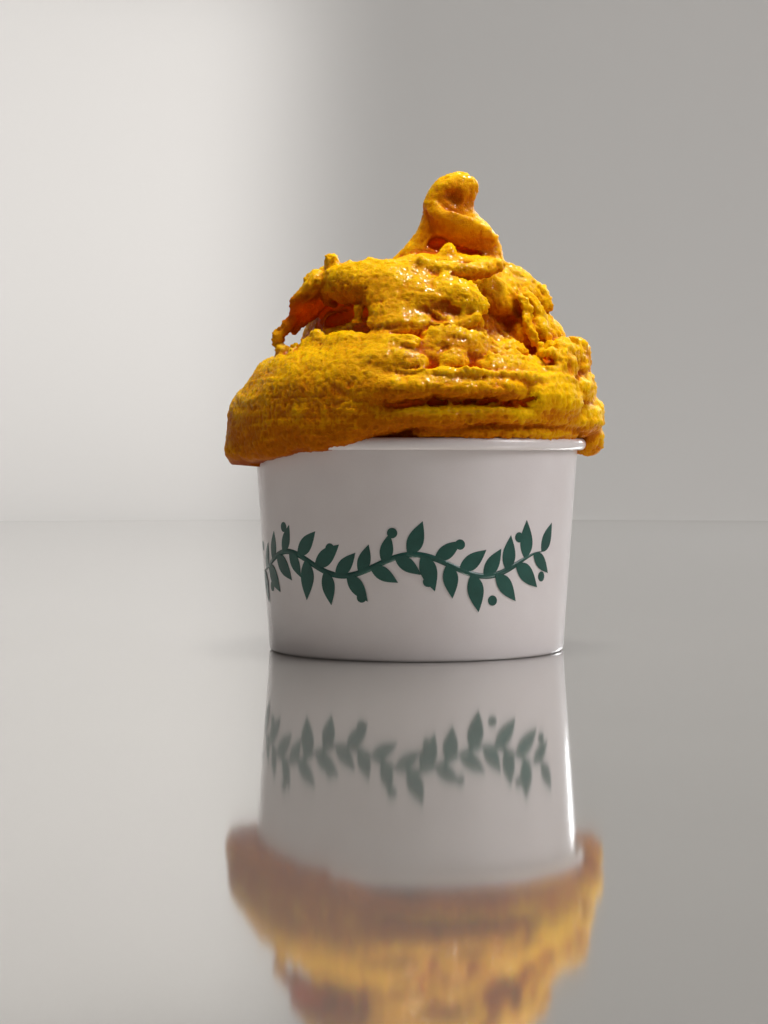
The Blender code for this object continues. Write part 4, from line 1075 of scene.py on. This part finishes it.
def gelatoFinish():
    # light, middle and deep are lit, half-shaded and shaded copies of one gelato colour: painted light and shade
    look = dict(
        light=(0.87, 0.470, 0.001), middle=(0.58, 0.160, 0.0003), deep=(0.28, 0.042, 0.0001), paintedGlow=(0.95, 0.125, 0.0001),
        pale=(1.0, 0.64, 0.01),
        grain=0.42, crystal=0.36, crystalShare=0.42, facet=0.62, patch=7.0, bump=1.0, bumpDepth=0.20, roughness=(0.34, 0.52),
    )
    made, tree, shader = shaderTree("gelato")
    place = objectPlace(tree)
    # painted shade: creases take a darker share of the gelato colour
    paintedCreaseShade = addNode(tree, "ShaderNodeAttribute", attribute_name="paintedCreaseShade").outputs["Fac"]
    # painted top light: how much a spot faces up, plus the painted paler patches
    up = addNode(tree, "ShaderNodeAttribute", attribute_name="paintedTopLight").outputs["Fac"]
    wet = addNode(tree, "ShaderNodeAttribute", attribute_name="wet").outputs["Fac"]
    patch = noiseNode(tree, place, look["patch"], 3, 0.6)
    evenPatch = spanNode(tree, patch, 0.0, 1.0, 0.25, 0.75)
    grain = noiseNode(tree, place, look["grain"], 3, 0.7)
    crystal = addNode(tree, "ShaderNodeTexVoronoi", {"Vector": place, "Scale": perMm(look["crystal"])})
    crystalHigh = spanNode(tree, crystal.outputs["Distance"], 0.0, 0.7, 1.0, 0.0)
    pick = addNode(tree, "ShaderNodeSeparateColor", {"Color": crystal.outputs["Color"]}).outputs[0]
    icy = mathNode(tree, "LESS_THAN", pick, look["crystalShare"])
    tilt = addNode(tree, "ShaderNodeVectorMath", {0: crystal.outputs["Color"], 1: (0.5, 0.5, 0.5)}, operation="SUBTRACT")
    tilted = addNode(tree, "ShaderNodeVectorMath",
                     {0: tilt.outputs[0], 1: (look["facet"],) * 3, 2: addNode(tree, "ShaderNodeNewGeometry").outputs["Normal"]},
                     operation="MULTIPLY_ADD")
    facet = addNode(tree, "ShaderNodeVectorMath", {0: tilted.outputs[0]}, operation="NORMALIZE")
    # painted shade and glow: deep hollows, the wing's inner face and the peak's pocket
    paintedHollowShadeGlow = addNode(tree, "ShaderNodeAttribute", attribute_name="paintedHollowShadeGlow").outputs["Fac"]
    # painted shade from creases and hollows, plus random patches of darker tone
    paintedShadeAndPatch = mathNode(tree, "MULTIPLY_ADD", paintedCreaseShade, 0.35, mathNode(tree, "MULTIPLY_ADD", paintedHollowShadeGlow, 0.8, evenPatch))
    # painted light and shade: faces that look up take the lit tone, creases and hollows the shaded tones
    share = mathNode(tree, "MULTIPLY_ADD", up, -0.9, paintedShadeAndPatch)
    colour = blendNode(tree, spanNode(tree, share, -0.15, 0.23), look["light"], look["middle"])
    colour = blendNode(tree, spanNode(tree, share, 0.16, 0.70), colour, look["deep"])
    # painted glow: the hollows, the wing's inner face and the peak's pocket take a bright red-orange, standing in for
    # light scattered and bounced inside them
    colour = blendNode(tree, spanNode(tree, paintedHollowShadeGlow, 0.25, 0.9, 0.0, 0.85), colour, look["paintedGlow"])
    colour = blendNode(tree, spanNode(tree, grain, 0.60, 0.8, 0.0, 0.5), colour, look["pale"])
    height = mathNode(tree, "MULTIPLY_ADD", grain, 0.6, mathNode(tree, "MULTIPLY", crystalHigh, 0.4))
    bump = addNode(tree, "ShaderNodeBump",
                   {"Height": height, "Strength": look["bump"], "Distance": look["bumpDepth"] * mm})
    setShader(tree, shader, {
        "Base Color": colour,
        "Roughness": spanNode(tree, grain, 0.3, 0.7, *look["roughness"]),
        "Normal": bump.outputs[0],
        "IOR": 1.38,
        "Specular IOR Level": 0.04,
        "Subsurface Weight": 0.3,
        "Subsurface Radius": (1.0, 0.3, 0.04),
        "Subsurface Scale": 0.9 * mm,
        "Coat Weight": mathNode(tree, "MULTIPLY", icy, spanNode(tree, wet, 0.46, 0.72, 0.04, 0.9)),
        "Coat Roughness": 0.15,
        "Coat IOR": 1.5,
        "Coat Normal": facet.outputs[0],
    })
    return made


def makeHeap():
    finish = gelatoFinish()
    solid = [coreBody(), *rimStrokes(), *frontBands(), *frontScales(), *upperStrokes(), *backStrokes(), *peakBody()]
    made = asVoxels(joinedParts("gelato_heap", solid), heap["voxel"])
    print("strokes laid")
    cutter = asVoxels(joinedParts("hollows", hollowShapes()), heap["cutterVoxel"])
    cut = made.modifiers.new("cut", "BOOLEAN")
    cut.operation = "DIFFERENCE"
    cut.solver = "MANIFOLD"
    cut.object = cutter
    madePlain(made)
    bpy.data.objects.remove(cutter)
    print("hollows cut")
    tongues = joinedParts("tongues", freeTongues() + peakFront())
    shape = bmesh.new()
    shape.from_mesh(made.data)
    shape.from_mesh(tongues.data)
    shape.to_mesh(made.data)
    shape.free()
    bpy.data.objects.remove(tongues)
    asVoxels(made, heap["voxel"], 1)
    addRelief(made.data)
    thin = made.modifiers.new("thin", "DECIMATE")
    thin.ratio = heap["keptTriangles"] / (2 * len(made.data.polygons))
    thin.use_collapse_triangulate = True
    madePlain(made)
    plugInCup(made)
    fitToFrame(made.data)
    # painted shade: how far each spot lies down in a crease, which darkens its colour
    setAttribute(made.data, "paintedCreaseShade", sunkenness(made.data))
    across, _, height = pointsOf(made.data).T
    # painted shade and glow: deep hollows, less of it in the cave at the right and none below 57 mm, more on the wing's
    # inner face and in the peak's pocket
    cave = rise(14, 20, across) * rise(76, 79, height)
    paintedHollowShadeGlow = np.clip(sunkenness(made.data, 150, 2.0) * 2 - 1, 0, 1) * (1 - 0.6 * cave) * rise(57, 61, height)
    wingShadeGlow = nearness(pointsOf(made.data), (-28.5, -17.5, 88), (5, 4, 4.4))
    pocketShadeGlow = nearness(pointsOf(made.data), (10.6, -9, 119.4), (3.6, 4, 4.6))
    setAttribute(made.data, "paintedHollowShadeGlow", np.clip(paintedHollowShadeGlow + 1.2 * wingShadeGlow + 0.9 * pocketShadeGlow, 0, 1))
    spots = pointsOf(made.data)
    # painted light: the right side, the lower right, a patch under the shoulder at the upper left and the lip are
    # painted paler
    paintedLitPatches = 0.11 * rise(16, 32, across) + 0.10 * nearness(spots, (-14, -24, 98), (8, 8, 4))
    paintedLitPatches += 0.22 * nearness(spots, (11, -34, 88), (7, 6, 4)) + 0.15 * rise(20, 30, across) * rise(74, 66, height)
    # painted top light: the smoothed upward facing, with the paler patches added, picks the lit tone in the shader
    facing = 0.5 + 0.5 * evenedOut(made.data, 22, rows=normalsOf(made.data)[:, 2:])[:, 0]
    setAttribute(made.data, "paintedTopLight", facing + paintedLitPatches)
    setAttribute(made.data, "wet", facing * (1 - 0.2 * rise(12, 30, across)))
    made.data.materials.clear()
    made.data.materials.append(finish)
    made.data.shade_smooth()
    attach(made, "root")
    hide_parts("gelato")
    print("heap shaped:", len(made.data.polygons), "faces")
    return made


gelatoHeap = makeHeap()


# Floor, backdrop, light and camera

studio = dict(
    floorRadius=1100.0, coveRadius=700.0, wallTall=1700.0,
    floorColour=(0.60, 0.59, 0.57), floorMetal=0.8, floorRoughness=0.06,
    wallColour=(0.56, 0.55, 0.535),
    worldColour=(1.0, 0.965, 0.955), worldStrength=0.11,
    camera=dict(distance=580.0, height=52.6, tip=88.4, turn=0.851, lens=76.5),
)
studioLights = {
    # where it stands, what it faces, its width and height, all in mm; its watts and its colour
    "above": dict(at=(60, -70, 850), to=(0, 0, 70), size=(190, 190), watts=7.6, colour=(1.0, 0.96, 0.90)),
    "window": dict(at=(640, -150, 540), to=(0, 0, 60), size=(380, 380), watts=3.0, colour=(0.98, 0.98, 1.0)),
    "edge": dict(at=(420, 760, 420), to=(0, 0, 60), size=(150, 620), watts=3.6, colour=(0.93, 0.97, 1.0)),
    "backWall": dict(at=(250, 900, 1050), to=(150, 1500, 60), size=(900, 500), watts=5.4, colour=(1, 0.98, 0.97)),
    "leftWall": dict(at=(-480, 980, 470), to=(-480, 1650, 160), size=(700, 900), watts=1.5, spread=22,
                     colour=(1, 0.98, 0.97)),
}


def makeStudio():
    made, tree, shader = shaderTree("studio_floor")
    place = objectPlace(tree)
    cloud = noiseNode(tree, place, 60, 3)
    setShader(tree, shader, {
        "Base Color": blendNode(tree, cloud, studio["floorColour"], tuple(0.94 * c for c in studio["floorColour"])),
        "Metallic": studio["floorMetal"],
        "Roughness": studio["floorRoughness"],
    })
    wall, tree, shader = shaderTree("studio_wall")
    setShader(tree, shader, {"Base Color": (*studio["wallColour"], 1), "Roughness": 0.9, "Specular IOR Level": 0.1})
    rows = [(radius, 0.0) for radius in np.linspace(1, studio["floorRadius"], 12)]
    rows += arcPoints((studio["floorRadius"], studio["coveRadius"]), studio["coveRadius"], studio["coveRadius"],
                      -90, 0, 14)[1:]
    rows.append((studio["floorRadius"] + studio["coveRadius"], studio["wallTall"]))
    angle = np.linspace(0, math.tau, 96, endpoint=False)
    rings = np.array([np.stack([r * np.cos(angle), r * np.sin(angle), np.full(96, z)], 1) for r, z in rows])
    points, faces = ringSkin(rings)
    sides = [face for face in faces if len(points) - 1 not in face]
    floor = newObject("studio_floor", meshOf("studio_floor", points, sides), made)
    floor.data.shade_smooth()
    floor.data.materials.append(wall)
    for face in floor.data.polygons:
        face.material_index = int(face.center.xy.length > studio["floorRadius"] * mm)
    world = bpy.data.worlds.new("soft")
    world.use_nodes = True
    sky = world.node_tree.nodes["Background"].inputs
    sky["Color"].default_value = (*studio["worldColour"], 1)
    sky["Strength"].default_value = studio["worldStrength"]
    bpy.context.scene.world = world
    for name, light in studioLights.items():
        lamp = bpy.data.lights.new(name, "AREA")
        lamp.shape = "RECTANGLE"
        lamp.size, lamp.size_y = light["size"][0] * mm, light["size"][1] * mm
        lamp.energy = light["watts"]
        lamp.color = light["colour"]
        lamp.spread = math.radians(light.get("spread", 180))
        stand = newObject(name, lamp)
        stand.location = Vector(light["at"]) * mm
        stand.rotation_euler = (Vector(light["at"]) - Vector(light["to"])).to_track_quat("Z", "Y").to_euler()
        stand.visible_camera = False
    view = studio["camera"]
    lens = bpy.data.cameras.new("camera")
    lens.lens = view["lens"]
    lens.clip_start = 0.01
    camera = newObject("camera", lens)
    camera.location = (0, -view["distance"] * mm, view["height"] * mm)
    camera.rotation_euler = (math.radians(view["tip"]), 0, math.radians(view["turn"]))
    bpy.context.scene.camera = camera
    bpy.context.scene.view_settings.view_transform = "Standard"
    print("studio set")


makeStudio()
